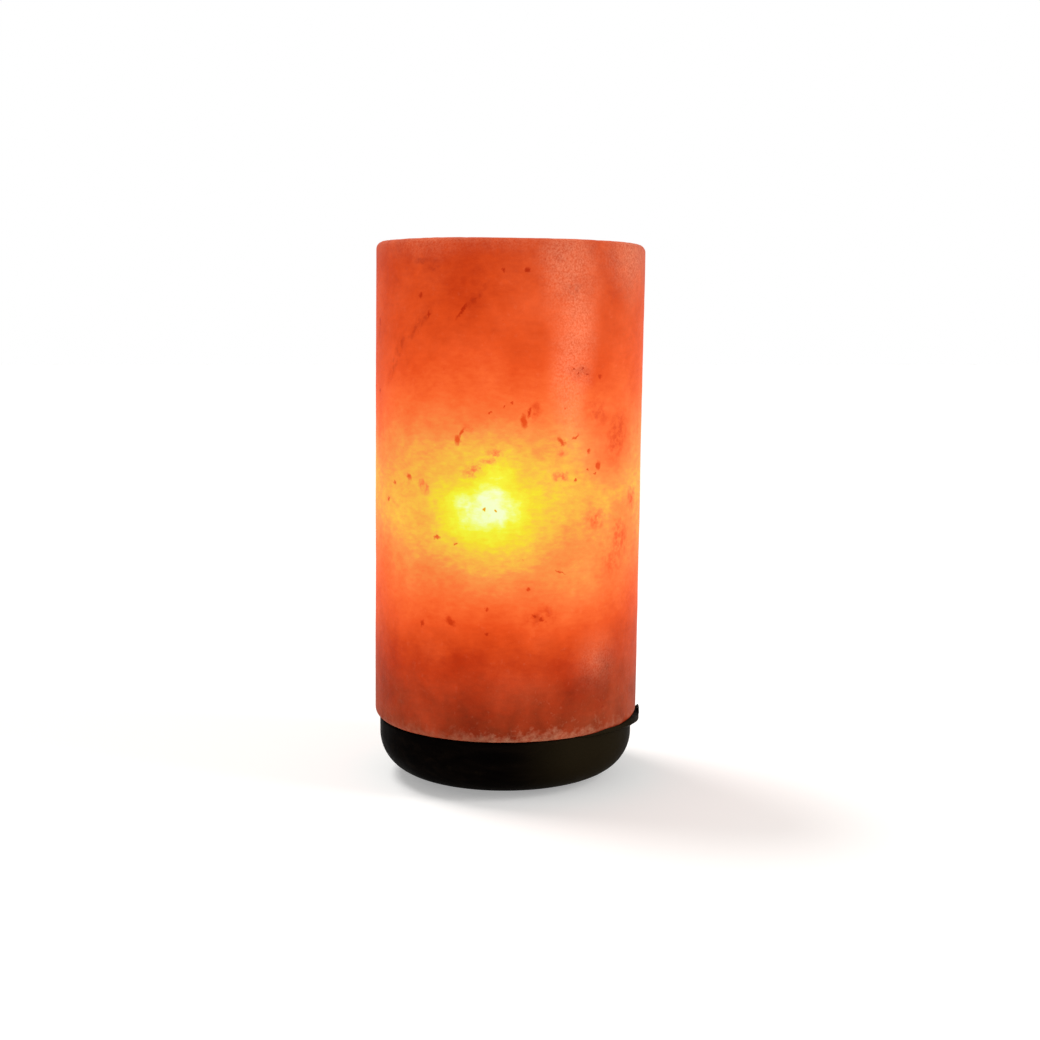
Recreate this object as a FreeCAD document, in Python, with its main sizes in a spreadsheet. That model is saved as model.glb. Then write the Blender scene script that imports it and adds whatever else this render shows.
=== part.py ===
import FreeCAD, Part
import math
import os

import Sketcher
from FreeCAD import Vector

# Salt crystal lamp: a turned salt cylinder on a turned wooden base, lit from a blind bore by a small
# screw-cap bulb. The lampholder hangs on a sprung strip clip that grips the wall of the bore and is pinched
# from below to free it.
#
# Millimetres. +Z is up, -Y is the front, +X the right-hand side. The origin is on the table, at the centre of
# the four feet, under the axis of the bore.

# ---------------------------------------------------------------------------------------------- the sizes
# name: (value, what it measures). Every size that can be set by itself is written here, once.
SIZES = {
    # salt block
    "salt_radius": (50.0, "outside of the salt cylinder"),
    "salt_height": (177.0, "salt cylinder, from the seam to its top"),
    "salt_lean": (0.75, "degrees that the cylinder leans to the right of its level foot"),
    "salt_top_round": (2.6, "round on the upper rim"),
    "salt_foot_round": (3.2, "round on the lower rim, above the seam"),
    "bore_radius": (19.5, "blind bore that holds the lamp"),
    "bore_depth": (120.0, "from the seam to the flat end of the bore"),
    # wooden base
    "base_radius": (48.0, "outside of the turned base"),
    "base_height": (21.0, "turned base, from its foot to the seam"),
    "base_round": (14.5, "large round on the lower edge"),
    "base_rim_round": (0.8, "small round at the seam"),
    "base_hole_radius": (20.0, "hole through the base, a little wider than the bore"),
    "base_hole_bevel": (1.2, "bevel on the lower mouth of the hole"),
    "channel_width": (7.0, "cord channel in the underside, towards the rear"),
    "channel_height": (5.6, "cord channel, above the foot of the base"),
    "channel_round": (1.8, "rounds along the roof of the cord channel"),
    "burr_reach": (3.4, "splinter left standing on the right of the rim, past the base's side"),
    "burr_height": (2.0, "top of the splinter, above the seam"),
    "burr_depth": (2.8, "root of the splinter, below the seam"),
    "burr_spread": (5.2, "degrees that the splinter runs along the rim"),
    # feet and fixings
    "foot_radius": (4.5, "rubber foot"),
    "foot_thickness": (1.5, "rubber foot"),
    "foot_edge": (0.4, "bevel on the foot's lower edge"),
    "foot_circle": (25.8, "radius of the circle that the feet stand on"),
    "screw_count": (3, "screws, spread evenly, between base and salt"),
    "screw_circle": (34.0, "radius of the circle that the screws stand on"),
    "screw_radius": (1.9, "shank of a screw"),
    "screw_head_radius": (3.9, "head of a screw"),
    "screw_head_height": (2.2, "cone of the countersunk head"),
    "screw_rim": (0.5, "straight edge of the countersunk head"),
    "screw_length": (36.0, "from the cone of the head to the point"),
    "screw_point": (4.0, "tapered point of a screw"),
    "screw_sink": (6.0, "depth of the pocket over the head"),
    "plug_radius": (3.6, "nylon plug in the salt"),
    "plug_length": (24.0, "nylon plug in the salt"),
    "fixing_gap": (0.1, "air round a shank, a plug or a tube in its hole"),
    # place of the lamp in the bore
    "contact_height": (40.5, "centre contact of the bulb, above the seam"),
    # lampholder
    "grip_radius": (13.0, "lower barrel of the housing"),
    "barrel_radius": (12.2, "upper barrel of the housing"),
    "housing_below": (14.0, "lower end of the housing, below the contact"),
    "housing_above": (20.5, "rim of the housing, above the contact"),
    "housing_step": (4.0, "step between the two barrels, above the contact"),
    "housing_rim_round": (0.9, "round on the rim of the housing"),
    "rib_count": (20, "grip ribs round the lower barrel"),
    "rib_width": (1.3, "one grip rib"),
    "rib_height": (0.7, "one grip rib, off the barrel"),
    "rib_end": (1.5, "plain barrel at each end of the ribs"),
    "block_radius": (11.1, "terminal block"),
    "block_height": (12.9, "terminal block"),
    "block_top": (0.9, "top of the terminal block, above the contact"),
    "well_radius": (5.2, "well in the block over the contact tongue"),
    "well_depth": (2.6, "floor of the well, below the contact"),
    "terminal_offset": (7.0, "centre of a terminal, from the axis"),
    "terminal_length": (6.2, "recess for a terminal, along the offset"),
    "terminal_width": (6.4, "recess for a terminal, across the offset"),
    "terminal_depth": (5.6, "recess for a terminal"),
    "terminal_plate": (1.0, "thickness of a terminal plate"),
    "terminal_screw_radius": (1.3, "shank of a terminal screw"),
    "terminal_screw_length": (4.6, "shank of a terminal screw"),
    "terminal_head_radius": (2.2, "head of a terminal screw"),
    "terminal_head_height": (1.5, "head of a terminal screw"),
    "liner_radius": (7.45, "outside of the brass screw liner"),
    "liner_wall": (0.4, "sheet of the brass screw liner"),
    "liner_foot": (1.6, "underside of the liner, above the contact"),
    "liner_height": (17.9, "brass screw liner"),
    "housing_gap": (0.15, "air between the liner or the block and the housing"),
    "tongue_thickness": (0.4, "contact tongue"),
    "tongue_width": (4.0, "contact tongue"),
    "tongue_reach": (4.4, "foot of the contact tongue, from the axis"),
    "tongue_gap": (0.1, "air between the tongue and the bulb's contact"),
    "cap_height": (11.8, "outer height of the holder's end cap"),
    "cap_band": (3.2, "straight band of the end cap"),
    "cap_floor_radius": (8.6, "flat end of the end cap"),
    "cap_wall": (2.2, "wall of the end cap"),
    "cap_spigot": (1.8, "spigot of the end cap inside the housing"),
    "inlet_radius": (5.0, "threaded tube that the cord enters by"),
    "inlet_bore": (3.5, "bore of the threaded tube"),
    "inlet_length": (12.4, "threaded tube"),
    "inlet_inside": (1.2, "threaded tube, above the floor of the end cap"),
    "nut_flats": (14.0, "lock nut, across its flats"),
    "nut_height": (3.0, "lock nut"),
    "bushing_radius": (6.3, "cord bushing on the end of the tube"),
    "bushing_height": (5.0, "cord bushing"),
    "bushing_lip": (1.6, "lip of the bushing past the end of the tube"),
    "bushing_round": (0.7, "round on the bushing's lower edge"),
    # sprung clip
    "clip_width": (9.0, "strip of the clip"),
    "yoke_thickness": (0.8, "cross strip under the end cap"),
    "yoke_margin": (1.5, "cross strip, wider than the wings on each side"),
    "yoke_reach": (11.9, "half the length of the cross strip"),
    "yoke_drop": (2.9, "turned-down ends of the cross strip"),
    "wing_thickness": (0.6, "sprung wing"),
    "wing_gap": (0.3, "air at the bend line between cross strip and wing"),
    "wing_bore_gap": (0.25, "air between the wing's corners and the bore"),
    "wing_neck": (1.0, "straight start of a wing"),
    "wing_shoulder_top": (3.2, "upper end of the shoulder, above the seam"),
    "wing_shoulder": (4.2, "length of the shoulder that rubs on the bore"),
    "wing_tab_height": (9.6, "inward bend of the finger tab, above the base's foot"),
    "wing_tab_radius": (14.4, "inward bend of the finger tab, from the axis"),
    "wing_curl": (2.6, "curled end of the finger tab"),
    # bulb
    "cap_thread_radius": (6.9, "crest of the thread on the bulb's cap"),
    "cap_sheet": (0.35, "sheet of the bulb's cap"),
    "cap_foot": (3.0, "lower edge of the bulb's cap, above the contact"),
    "cap_skirt_foot": (20.9, "start of the flared skirt, above the contact"),
    "cap_skirt_radius": (8.8, "flared skirt"),
    "cap_length": (24.6, "upper edge of the skirt, above the contact"),
    "button_radius": (2.4, "solder button"),
    "button_height": (0.9, "solder button"),
    "insulator_radius": (4.6, "hole in the foot of the bulb's cap"),
    "turn_gap": (0.06, "air between the glass insulator and the bulb's cap"),
    "bulb_radius": (13.0, "glass envelope"),
    "bulb_length": (57.0, "whole bulb, contact to crown"),
    "bulb_taper": (15.0, "degrees of the envelope's taper"),
    "bulb_wall": (0.6, "glass envelope"),
    "neck_foot": (21.9, "lower end of the envelope, above the contact"),
    "light_centre": (37.3, "filament, above the contact"),
    "stem_radius": (2.1, "glass stem"),
    "stem_top": (31.5, "top of the stem, above the contact"),
    "lead_radius": (0.25, "lead wires"),
    "lead_foot": (1.1, "foot of a lead wire, from the axis"),
    "filament_reach": (6.4, "half the span of the filament"),
    "filament_radius": (0.35, "coiled filament"),
    "filament_sag": (1.9, "height of the filament's middle over its ends"),
    "support_radius": (0.15, "wires that hold the filament up"),
}

document = FreeCAD.newDocument("SaltLamp")
sheet = document.addObject("Spreadsheet::Sheet", "Sizes")
for row, (size_name, (size_value, size_text)) in enumerate(SIZES.items(), start=1):
    sheet.set(f"A{row}", size_name.replace("_", " "))
    sheet.set(f"B{row}", str(size_value))
    sheet.set(f"C{row}", size_text)
    sheet.setAlias(f"B{row}", size_name)
document.recompute()

# Places that several pieces share, as expressions on the sheet. "@" stands for the sheet's name.
FOOT = "@foot_thickness"
SEAM = "(@foot_thickness + @base_height)"
CONTACT = f"({SEAM} + @contact_height)"
HOUSING_FOOT = f"({CONTACT} - @housing_below)"
CAP_FOOT = f"({HOUSING_FOOT} - @fixing_gap - @cap_height)"
YOKE_TOP = f"({CAP_FOOT} - @fixing_gap)"
NUT_TOP = f"({YOKE_TOP} - @yoke_thickness - @fixing_gap)"
INLET_TOP = f"({CAP_FOOT} + @cap_wall + @inlet_inside)"
INLET_FOOT = f"({INLET_TOP} - @inlet_length)"
BULB_CENTRE = f"({CONTACT} + @bulb_length - @bulb_radius)"


def bind(expression):
    """Expression on the sheet, in the form that an object of the document takes."""
    return str(expression).replace("@", "Sizes.")


def number(expression):
    """Present value of an expression on the sheet."""
    return float(sheet.evalExpression(str(expression).replace("@", "")))


# ---------------------------------------------------------------------------------------------- helpers
def new_body(name):
    """Empty body that becomes one node of the lamp, named by its Label."""
    body = document.addObject("PartDesign::Body", name)
    body.Label = name
    return body


def origin_of(body, role):
    """Plane or axis of the body's own origin."""
    return next(item for item in body.Origin.OriginFeatures if item.Role == role)


def new_sketch(body, name, plane="XZ_Plane", offset=None):
    """Sketch on one of the body's origin planes, moved along its normal by an expression."""
    sketch = body.newObject("Sketcher::SketchObject", name)
    sketch.AttachmentSupport = [(origin_of(body, plane), "")]
    sketch.MapMode = "FlatFace"
    if offset is not None:
        sketch.setExpression(".AttachmentOffset.Base.z", bind(offset))
    return sketch


def pin(sketch, element, point, across, up):
    """Ties a point of the sketch to two expressions, measured from the sketch's origin."""
    for kind, axis, expression in (("DistanceX", -2, across), ("DistanceY", -1, up)):
        if str(expression) == "0":
            sketch.addConstraint(Sketcher.Constraint("PointOnObject", element, point, axis))
            continue
        size = number(expression)
        index = sketch.addConstraint(Sketcher.Constraint(kind, -1, 1, element, point, size))
        sketch.setExpression(f"Constraints[{index}]", bind(expression))


def arc_between(start, end, radius, side):
    """Arc of under a half circle from start to end, bulging to the left (side 1) or right (side -1)."""
    chord = end - start
    half = chord.Length / 2
    normal = Vector(-chord.y, chord.x, 0).normalize()
    centre = (start + end) / 2 - normal * side * math.sqrt(max(radius**2 - half**2, 0.0))
    middle = centre + normal * side * radius
    return Part.Arc(start, middle, end)


def outline(sketch, corners):
    """Closed outline. A corner is (across, up), or (across, up, radius, side) where an arc starts."""
    spots = [Vector(number(corner[0]), number(corner[1]), 0) for corner in corners]
    first = sketch.GeometryCount
    heads = []
    for index, corner in enumerate(corners):
        start = spots[index]
        end = spots[(index + 1) % len(spots)]
        if len(corner) == 2:
            sketch.addGeometry(Part.LineSegment(start, end), False)
            heads.append((1, 2))
            continue
        arc = arc_between(start, end, number(corner[2]), corner[3])
        sketch.addGeometry(arc, False)
        # an arc runs anticlockwise, so one that bulges to the left starts at its second end
        heads.append((2, 1) if corner[3] > 0 else (1, 2))
    for index, corner in enumerate(corners):
        following = (index + 1) % len(corners)
        sketch.addConstraint(
            Sketcher.Constraint(
                "Coincident", first + index, heads[index][1], first + following, heads[following][0]
            )
        )
        pin(sketch, first + index, heads[index][0], corner[0], corner[1])
        if len(corner) == 4:
            radius = Sketcher.Constraint("Radius", first + index, number(corner[2]))
            mark = sketch.addConstraint(radius)
            sketch.setExpression(f"Constraints[{mark}]", bind(corner[2]))


def rectangle(sketch, left, low, right, high):
    """Closed rectangle between two corners, each an expression."""
    outline(sketch, [(left, low), (right, low), (right, high), (left, high)])


def circle(sketch, across, up, radius):
    """Circle about a tied centre."""
    centre = Vector(number(across), number(up), 0)
    element = sketch.addGeometry(Part.Circle(centre, Vector(0, 0, 1), number(radius)), False)
    pin(sketch, element, 3, across, up)
    mark = sketch.addConstraint(Sketcher.Constraint("Radius", element, number(radius)))
    sketch.setExpression(f"Constraints[{mark}]", bind(radius))


def turned(body, name, corners, cut=False, centre=None, plane="XZ_Plane", swing=0):
    """Outline turned about the vertical axis, or about an upright line at centre, added or cut.

    swing turns the plane of the outline about the vertical axis, in degrees.
    """
    sketch = new_sketch(body, f"{name}_profile", plane)
    sketch.AttachmentOffset = FreeCAD.Placement(Vector(), FreeCAD.Rotation(Vector(0, 1, 0), swing))
    if centre is not None:
        corners = [(f"{centre} + {corner[0]}", *corner[1:]) for corner in corners]
    outline(sketch, corners)
    feature = body.newObject("PartDesign::Groove" if cut else "PartDesign::Revolution", name)
    feature.Profile = sketch
    feature.ReferenceAxis = (sketch, ["V_Axis"])
    if centre is not None:
        low, high = (Vector(number(centre), level, 0) for level in (0.0, 10.0))
        line = sketch.addGeometry(Part.LineSegment(low, high), True)
        pin(sketch, line, 1, centre, "0")
        pin(sketch, line, 2, centre, "10")
        feature.ReferenceAxis = (sketch, ["Axis0"])
    feature.Angle = 360
    body.Tip = feature
    return feature


def padded(body, name, sketch, length, both_ways=False, backwards=False):
    """Pad of a sketch by an expression, to one side or evenly to both."""
    feature = body.newObject("PartDesign::Pad", name)
    feature.Profile = sketch
    feature.setExpression("Length", bind(length))
    feature.Midplane = both_ways
    feature.Reversed = backwards
    body.Tip = feature
    return feature


def pocketed(body, name, sketch, length, both_ways=False, backwards=False):
    """Pocket of a sketch by an expression."""
    feature = body.newObject("PartDesign::Pocket", name)
    feature.Profile = sketch
    feature.setExpression("Length", bind(length))
    feature.Midplane = both_ways
    feature.Reversed = backwards
    body.Tip = feature
    return feature


def around(body, name, feature, count):
    """Copies of a feature, spread evenly about the vertical axis."""
    document.recompute()
    pattern = body.newObject("PartDesign::PolarPattern", name)
    pattern.Originals = [feature]
    pattern.Axis = (origin_of(body, "Z_Axis"), [""])
    pattern.Angle = 360
    pattern.setExpression("Occurrences", bind(count))
    body.Tip = pattern
    return pattern


def edges_where(shape, test):
    """Names of the shape's edges whose every sampled point passes the test."""
    names = []
    for index, edge in enumerate(shape.Edges, start=1):
        points = edge.discretize(Number=7)
        if all(test(point) for point in points):
            names.append(f"Edge{index}")
    return names


def softened(body, name, test, size, kind="Fillet"):
    """Fillet or chamfer on the edges of the body that pass the test."""
    document.recompute()
    base = body.Tip
    feature = body.newObject(f"PartDesign::{kind}", name)
    feature.Base = (base, edges_where(base.Shape, test))
    feature.setExpression("Radius" if kind == "Fillet" else "Size", bind(size))
    body.Tip = feature
    return feature


def radius_of(point):
    """Distance of a point from the vertical axis."""
    return math.hypot(point.x, point.y)


def near(one, other):
    """True where two lengths agree to a fiftieth of a millimetre."""
    return abs(one - other) < 0.02


def swept(body, name, spine_points, half_width, half_depth, round_section=False, plane="XZ_Plane"):
    """Strip or wire along a path of straight runs on the XZ plane, starting downwards or upwards."""
    spine = new_sketch(body, f"{name}_path", plane)
    spots = [Vector(number(x), number(z), 0) for x, z in spine_points]
    for index in range(len(spots) - 1):
        spine.addGeometry(Part.LineSegment(spots[index], spots[index + 1]), False)
        if index:
            spine.addConstraint(Sketcher.Constraint("Coincident", index - 1, 2, index, 1))
    for index, (x, z) in enumerate(spine_points[:-1]):
        pin(spine, index, 1, x, z)
    pin(spine, len(spots) - 2, 2, *spine_points[-1])
    section = new_sketch(body, f"{name}_section", "XY_Plane", spine_points[0][1])
    middle = spine_points[0][0]
    if round_section:
        circle(section, middle, "0", half_width)
    else:
        rectangle(
            section,
            f"{middle} - {half_depth}",
            f"-{half_width}",
            f"{middle} + {half_depth}",
            half_width,
        )
    feature = body.newObject("PartDesign::AdditivePipe", name)
    feature.Profile = section
    feature.Spine = (spine, [f"Edge{index + 1}" for index in range(len(spots) - 1)])
    feature.Transition = "Right corner"
    body.Tip = feature
    return feature


# ---------------------------------------------------------------------------------------------- salt block
salt_block = new_body("salt_block")
LEAN = "@salt_lean * 1 deg"


def leaning(radius, height):
    """Place on the XZ plane of a point at a radius from the leaning axis and a height along it."""
    across = f"(({radius}) * cos({LEAN}) + ({height}) * sin({LEAN}))"
    up = f"({SEAM} + ({height}) * cos({LEAN}) - ({radius}) * sin({LEAN}))"
    return across, up


# the cylinder is turned past the seam and cut off level there
profile = new_sketch(salt_block, "leaning_profile")
outline(
    profile,
    [
        leaning("0", "-@base_height"),
        leaning("@salt_radius", "-@base_height"),
        (*leaning("@salt_radius", "@salt_height - @salt_top_round"), "@salt_top_round", -1),
        leaning("@salt_radius - @salt_top_round", "@salt_height"),
        leaning("0", "@salt_height"),
    ],
)
foot_end, crown_end = (
    Vector(number(across), number(up), 0)
    for across, up in (leaning("0", "-@base_height"), leaning("0", "@salt_height"))
)
axis_line = profile.addGeometry(Part.LineSegment(foot_end, crown_end), True)
profile.addConstraint(Sketcher.Constraint("Coincident", axis_line, 1, 0, 1))
profile.addConstraint(Sketcher.Constraint("Coincident", axis_line, 2, 4, 1))
cylinder = salt_block.newObject("PartDesign::Revolution", "leaning_cylinder")
cylinder.Profile = profile
cylinder.ReferenceAxis = (profile, ["Axis0"])
cylinder.Angle = 360
salt_block.Tip = cylinder
sole = new_sketch(salt_block, "level_sole", "XY_Plane", SEAM)
circle(sole, "0", "0", "2 * @salt_radius")
pocketed(salt_block, "level_cut", sole, "4 * @base_height")
softened(
    salt_block,
    "lower_rim",
    lambda point: near(point.z, number(SEAM)) and radius_of(point) > number("bore_radius") + 1,
    "@salt_foot_round",
)
# a core drill leaves a flat end
turned(
    salt_block,
    "blind_bore",
    [
        ("0", f"{SEAM} - 1"),
        ("@bore_radius", f"{SEAM} - 1"),
        ("@bore_radius", f"{SEAM} + @bore_depth"),
        ("0", f"{SEAM} + @bore_depth"),
    ],
    cut=True,
)
hole = new_sketch(salt_block, "plug_hole_circle", "XY_Plane", SEAM)
circle(hole, "0", "-@screw_circle", "@plug_radius + @fixing_gap")
plug_hole = pocketed(salt_block, "plug_hole", hole, "@plug_length + 2 * @fixing_gap", backwards=True)
around(salt_block, "plug_holes", plug_hole, "@screw_count")

# ---------------------------------------------------------------------------------------------- wooden base
wooden_base = new_body("wooden_base")
turned(
    wooden_base,
    "turned_disc",
    [
        ("@base_hole_radius + @base_hole_bevel", FOOT),
        ("@base_radius - @base_round", FOOT, "@base_round", -1),
        ("@base_radius", f"{FOOT} + @base_round"),
        ("@base_radius", f"{SEAM} - @base_rim_round", "@base_rim_round", -1),
        ("@base_radius - @base_rim_round", SEAM),
        ("@base_hole_radius", SEAM),
        ("@base_hole_radius", f"{FOOT} + @base_hole_bevel"),
    ],
)

channel = new_sketch(wooden_base, "cord_channel_section")
outline(
    channel,
    [
        ("-@channel_width / 2", f"{FOOT} - 1"),
        ("@channel_width / 2", f"{FOOT} - 1"),
        ("@channel_width / 2", f"{FOOT} + @channel_height - @channel_round", "@channel_round", -1),
        ("@channel_width / 2 - @channel_round", f"{FOOT} + @channel_height"),
        ("-@channel_width / 2 + @channel_round", f"{FOOT} + @channel_height", "@channel_round", -1),
        ("-@channel_width / 2", f"{FOOT} + @channel_height - @channel_round"),
    ],
)
pocketed(wooden_base, "cord_channel", channel, "2 * @base_radius")
head_circle = new_sketch(wooden_base, "head_pocket_circle", "XY_Plane", FOOT)
circle(head_circle, "0", "-@screw_circle", "@screw_head_radius + 2 * @fixing_gap")
head_pocket = pocketed(wooden_base, "head_pocket", head_circle, "@screw_sink", backwards=True)
around(wooden_base, "head_pockets", head_pocket, "@screw_count")
shank_hole = turned(
    wooden_base,
    "shank_hole",
    [
        ("0", f"{FOOT} + @screw_sink - 1"),
        ("@screw_head_radius + 2 * @fixing_gap", f"{FOOT} + @screw_sink - 1"),
        ("@screw_head_radius + 2 * @fixing_gap", f"{FOOT} + @screw_sink"),
        ("@screw_radius + @fixing_gap", f"{FOOT} + @screw_sink + @screw_head_height"),
        ("@screw_radius + @fixing_gap", f"{SEAM} + 1"),
        ("0", f"{SEAM} + 1"),
    ],
    cut=True,
    centre="-@screw_circle",
    plane="YZ_Plane",
)
around(wooden_base, "shank_holes", shank_hole, "@screw_count")
burr = new_sketch(wooden_base, "splinter_section")
outline(
    burr,
    [
        ("@base_radius - 2 * @base_rim_round", f"{SEAM} - @burr_depth"),
        ("@base_radius + 0.35 * @burr_reach", f"{SEAM} - @burr_depth"),
        ("@base_radius + @burr_reach", f"{SEAM} - 0.2 * @burr_depth"),
        ("@base_radius + 0.97 * @burr_reach", f"{SEAM} + @burr_height"),
        ("@base_radius + 0.75 * @burr_reach", f"{SEAM} + 0.75 * @burr_height"),
        ("@base_radius + 0.35 * @burr_reach", f"{SEAM} + 0.1 * @burr_height"),
        ("@base_radius - 2 * @base_rim_round", f"{SEAM} - @fixing_gap"),
    ],
)
splinter = wooden_base.newObject("PartDesign::Revolution", "splinter")
splinter.Profile = burr
splinter.ReferenceAxis = (burr, ["V_Axis"])
splinter.Midplane = True
splinter.setExpression("Angle", bind("@burr_spread"))
wooden_base.Tip = splinter

# ---------------------------------------------------------------------------------------------- fixings
base_screws = new_body("base_screws")
HEAD_TOP = f"({FOOT} + @screw_sink)"  # underside of the countersink's straight edge
screw = turned(
    base_screws,
    "countersunk_screw",
    [
        ("0", f"{HEAD_TOP} - @screw_rim"),
        ("@screw_head_radius", f"{HEAD_TOP} - @screw_rim"),
        ("@screw_head_radius", HEAD_TOP),
        ("@screw_radius", f"{HEAD_TOP} + @screw_head_height"),
        ("@screw_radius", f"{HEAD_TOP} + @screw_length - @screw_point"),
        ("0.2", f"{HEAD_TOP} + @screw_length"),
        ("0", f"{HEAD_TOP} + @screw_length"),
    ],
    centre="-@screw_circle",
    plane="YZ_Plane",
)
around(base_screws, "all_screws", screw, "@screw_count")

screw_plugs = new_body("screw_plugs")
plug = turned(
    screw_plugs,
    "nylon_plug",
    [
        ("@screw_radius + @fixing_gap", f"{SEAM} + @fixing_gap"),
        ("@plug_radius", f"{SEAM} + @fixing_gap"),
        ("@plug_radius", f"{SEAM} + @fixing_gap + @plug_length"),
        ("@screw_radius + @fixing_gap", f"{SEAM} + @fixing_gap + @plug_length"),
    ],
    centre="-@screw_circle",
    plane="YZ_Plane",
)
around(screw_plugs, "all_plugs", plug, "@screw_count")

rubber_feet = new_body("rubber_feet")
foot = turned(
    rubber_feet,
    "rubber_foot",
    [
        ("0", "0"),
        ("@foot_radius - @foot_edge", "0"),
        ("@foot_radius", "@foot_edge"),
        ("@foot_radius", FOOT),
        ("0", FOOT),
    ],
    centre="@foot_circle",
    swing=45,
)
around(rubber_feet, "all_feet", foot, 4)

# ---------------------------------------------------------------------------------------------- lampholder
holder_housing = new_body("holder_housing")
BLOCK_TOP = f"({CONTACT} + @block_top)"
LINER_FOOT = f"({CONTACT} + @liner_foot)"
HOUSING_RIM = f"({CONTACT} + @housing_above)"
turned(
    holder_housing,
    "moulded_barrel",
    [
        ("@block_radius + @housing_gap", HOUSING_FOOT),
        ("@grip_radius", HOUSING_FOOT),
        ("@grip_radius", f"{CONTACT} + @housing_step"),
        ("@barrel_radius", f"{CONTACT} + @housing_step + @grip_radius - @barrel_radius"),
        ("@barrel_radius", f"{HOUSING_RIM} - @housing_rim_round", "@housing_rim_round", -1),
        ("@barrel_radius - @housing_rim_round", HOUSING_RIM),
        ("@liner_radius + @housing_gap", HOUSING_RIM),
        ("@liner_radius + @housing_gap", f"{BLOCK_TOP} + @fixing_gap"),
        ("@block_radius + @housing_gap", f"{BLOCK_TOP} + @fixing_gap"),
    ],
)
rib_section = new_sketch(holder_housing, "grip_rib_section", "XY_Plane", f"{HOUSING_FOOT} + @rib_end")
outline(
    rib_section,
    [
        ("@grip_radius - @rib_height", "-@rib_width / 2"),
        ("@grip_radius", "-@rib_width / 2"),
        ("@grip_radius + @rib_height", "-@rib_width / 4"),
        ("@grip_radius + @rib_height", "@rib_width / 4"),
        ("@grip_radius", "@rib_width / 2"),
        ("@grip_radius - @rib_height", "@rib_width / 2"),
    ],
)
rib = padded(
    holder_housing, "grip_rib", rib_section, "@housing_below + @housing_step - 2 * @rib_end"
)
around(holder_housing, "grip_ribs", rib, "@rib_count")

terminal_block = new_body("terminal_block")
BLOCK_FOOT = f"({BLOCK_TOP} - @block_height)"
turned(
    terminal_block,
    "block_disc",
    [
        ("0", BLOCK_FOOT),
        ("@block_radius", BLOCK_FOOT),
        ("@block_radius", BLOCK_TOP),
        ("@liner_radius - @fixing_gap", BLOCK_TOP),
        ("@liner_radius - @fixing_gap", f"{LINER_FOOT} - @fixing_gap"),
        ("@well_radius", f"{LINER_FOOT} - @fixing_gap"),
        ("@well_radius", f"{CONTACT} - @well_depth"),
        ("0", f"{CONTACT} - @well_depth"),
    ],
)
recess = new_sketch(terminal_block, "terminal_recess_outline", "XY_Plane", BLOCK_FOOT)
rectangle(
    recess,
    "@terminal_offset - @terminal_length / 2",
    "-@terminal_width / 2",
    "@terminal_offset + @terminal_length / 2",
    "@terminal_width / 2",
)
recess_cut = pocketed(terminal_block, "terminal_recess", recess, "@terminal_depth", backwards=True)
around(terminal_block, "terminal_recesses", recess_cut, 2)
RECESS_TOP = f"({BLOCK_FOOT} + @terminal_depth)"
PLATE_FOOT = f"({RECESS_TOP} - @fixing_gap - @terminal_plate)"
SCREW_SEAT = f"({PLATE_FOOT} - @fixing_gap)"
tapped = new_sketch(terminal_block, "terminal_hole_circle", "XY_Plane", SCREW_SEAT)
circle(tapped, "@terminal_offset", "0", "@terminal_screw_radius + @fixing_gap")
tapped_hole = pocketed(
    terminal_block, "terminal_hole", tapped, "@terminal_screw_length + @fixing_gap", backwards=True
)
around(terminal_block, "terminal_holes", tapped_hole, 2)

terminal_plates = new_body("terminal_plates")
plate = new_sketch(terminal_plates, "terminal_plate_outline", "XY_Plane", PLATE_FOOT)
rectangle(
    plate,
    "@terminal_offset - @terminal_length / 2 + 2 * @fixing_gap",
    "-@terminal_width / 2 + 2 * @fixing_gap",
    "@terminal_offset + @terminal_length / 2 - 2 * @fixing_gap",
    "@terminal_width / 2 - 2 * @fixing_gap",
)
circle(plate, "@terminal_offset", "0", "@terminal_screw_radius + @fixing_gap")
plate_pad = padded(terminal_plates, "terminal_plate", plate, "@terminal_plate")
around(terminal_plates, "both_plates", plate_pad, 2)

terminal_screws = new_body("terminal_screws")
terminal_screw = turned(
    terminal_screws,
    "cheese_head_screw",
    [
        ("0", f"{SCREW_SEAT} - @terminal_head_height"),
        ("@terminal_head_radius", f"{SCREW_SEAT} - @terminal_head_height"),
        ("@terminal_head_radius", SCREW_SEAT),
        ("@terminal_screw_radius", SCREW_SEAT),
        ("@terminal_screw_radius", f"{SCREW_SEAT} + @terminal_screw_length"),
        ("0", f"{SCREW_SEAT} + @terminal_screw_length"),
    ],
    centre="@terminal_offset",
)
around(terminal_screws, "both_terminal_screws", terminal_screw, 2)

screw_liner = new_body("screw_liner")
turned(
    screw_liner,
    "brass_liner",
    [
        ("@well_radius + @liner_wall", LINER_FOOT),
        ("@liner_radius", LINER_FOOT),
        ("@liner_radius", f"{LINER_FOOT} + @liner_height"),
        ("@liner_radius - @liner_wall", f"{LINER_FOOT} + @liner_height"),
        ("@liner_radius - @liner_wall", f"{LINER_FOOT} + @liner_wall"),
        ("@well_radius + @liner_wall", f"{LINER_FOOT} + @liner_wall"),
    ],
)

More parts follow.
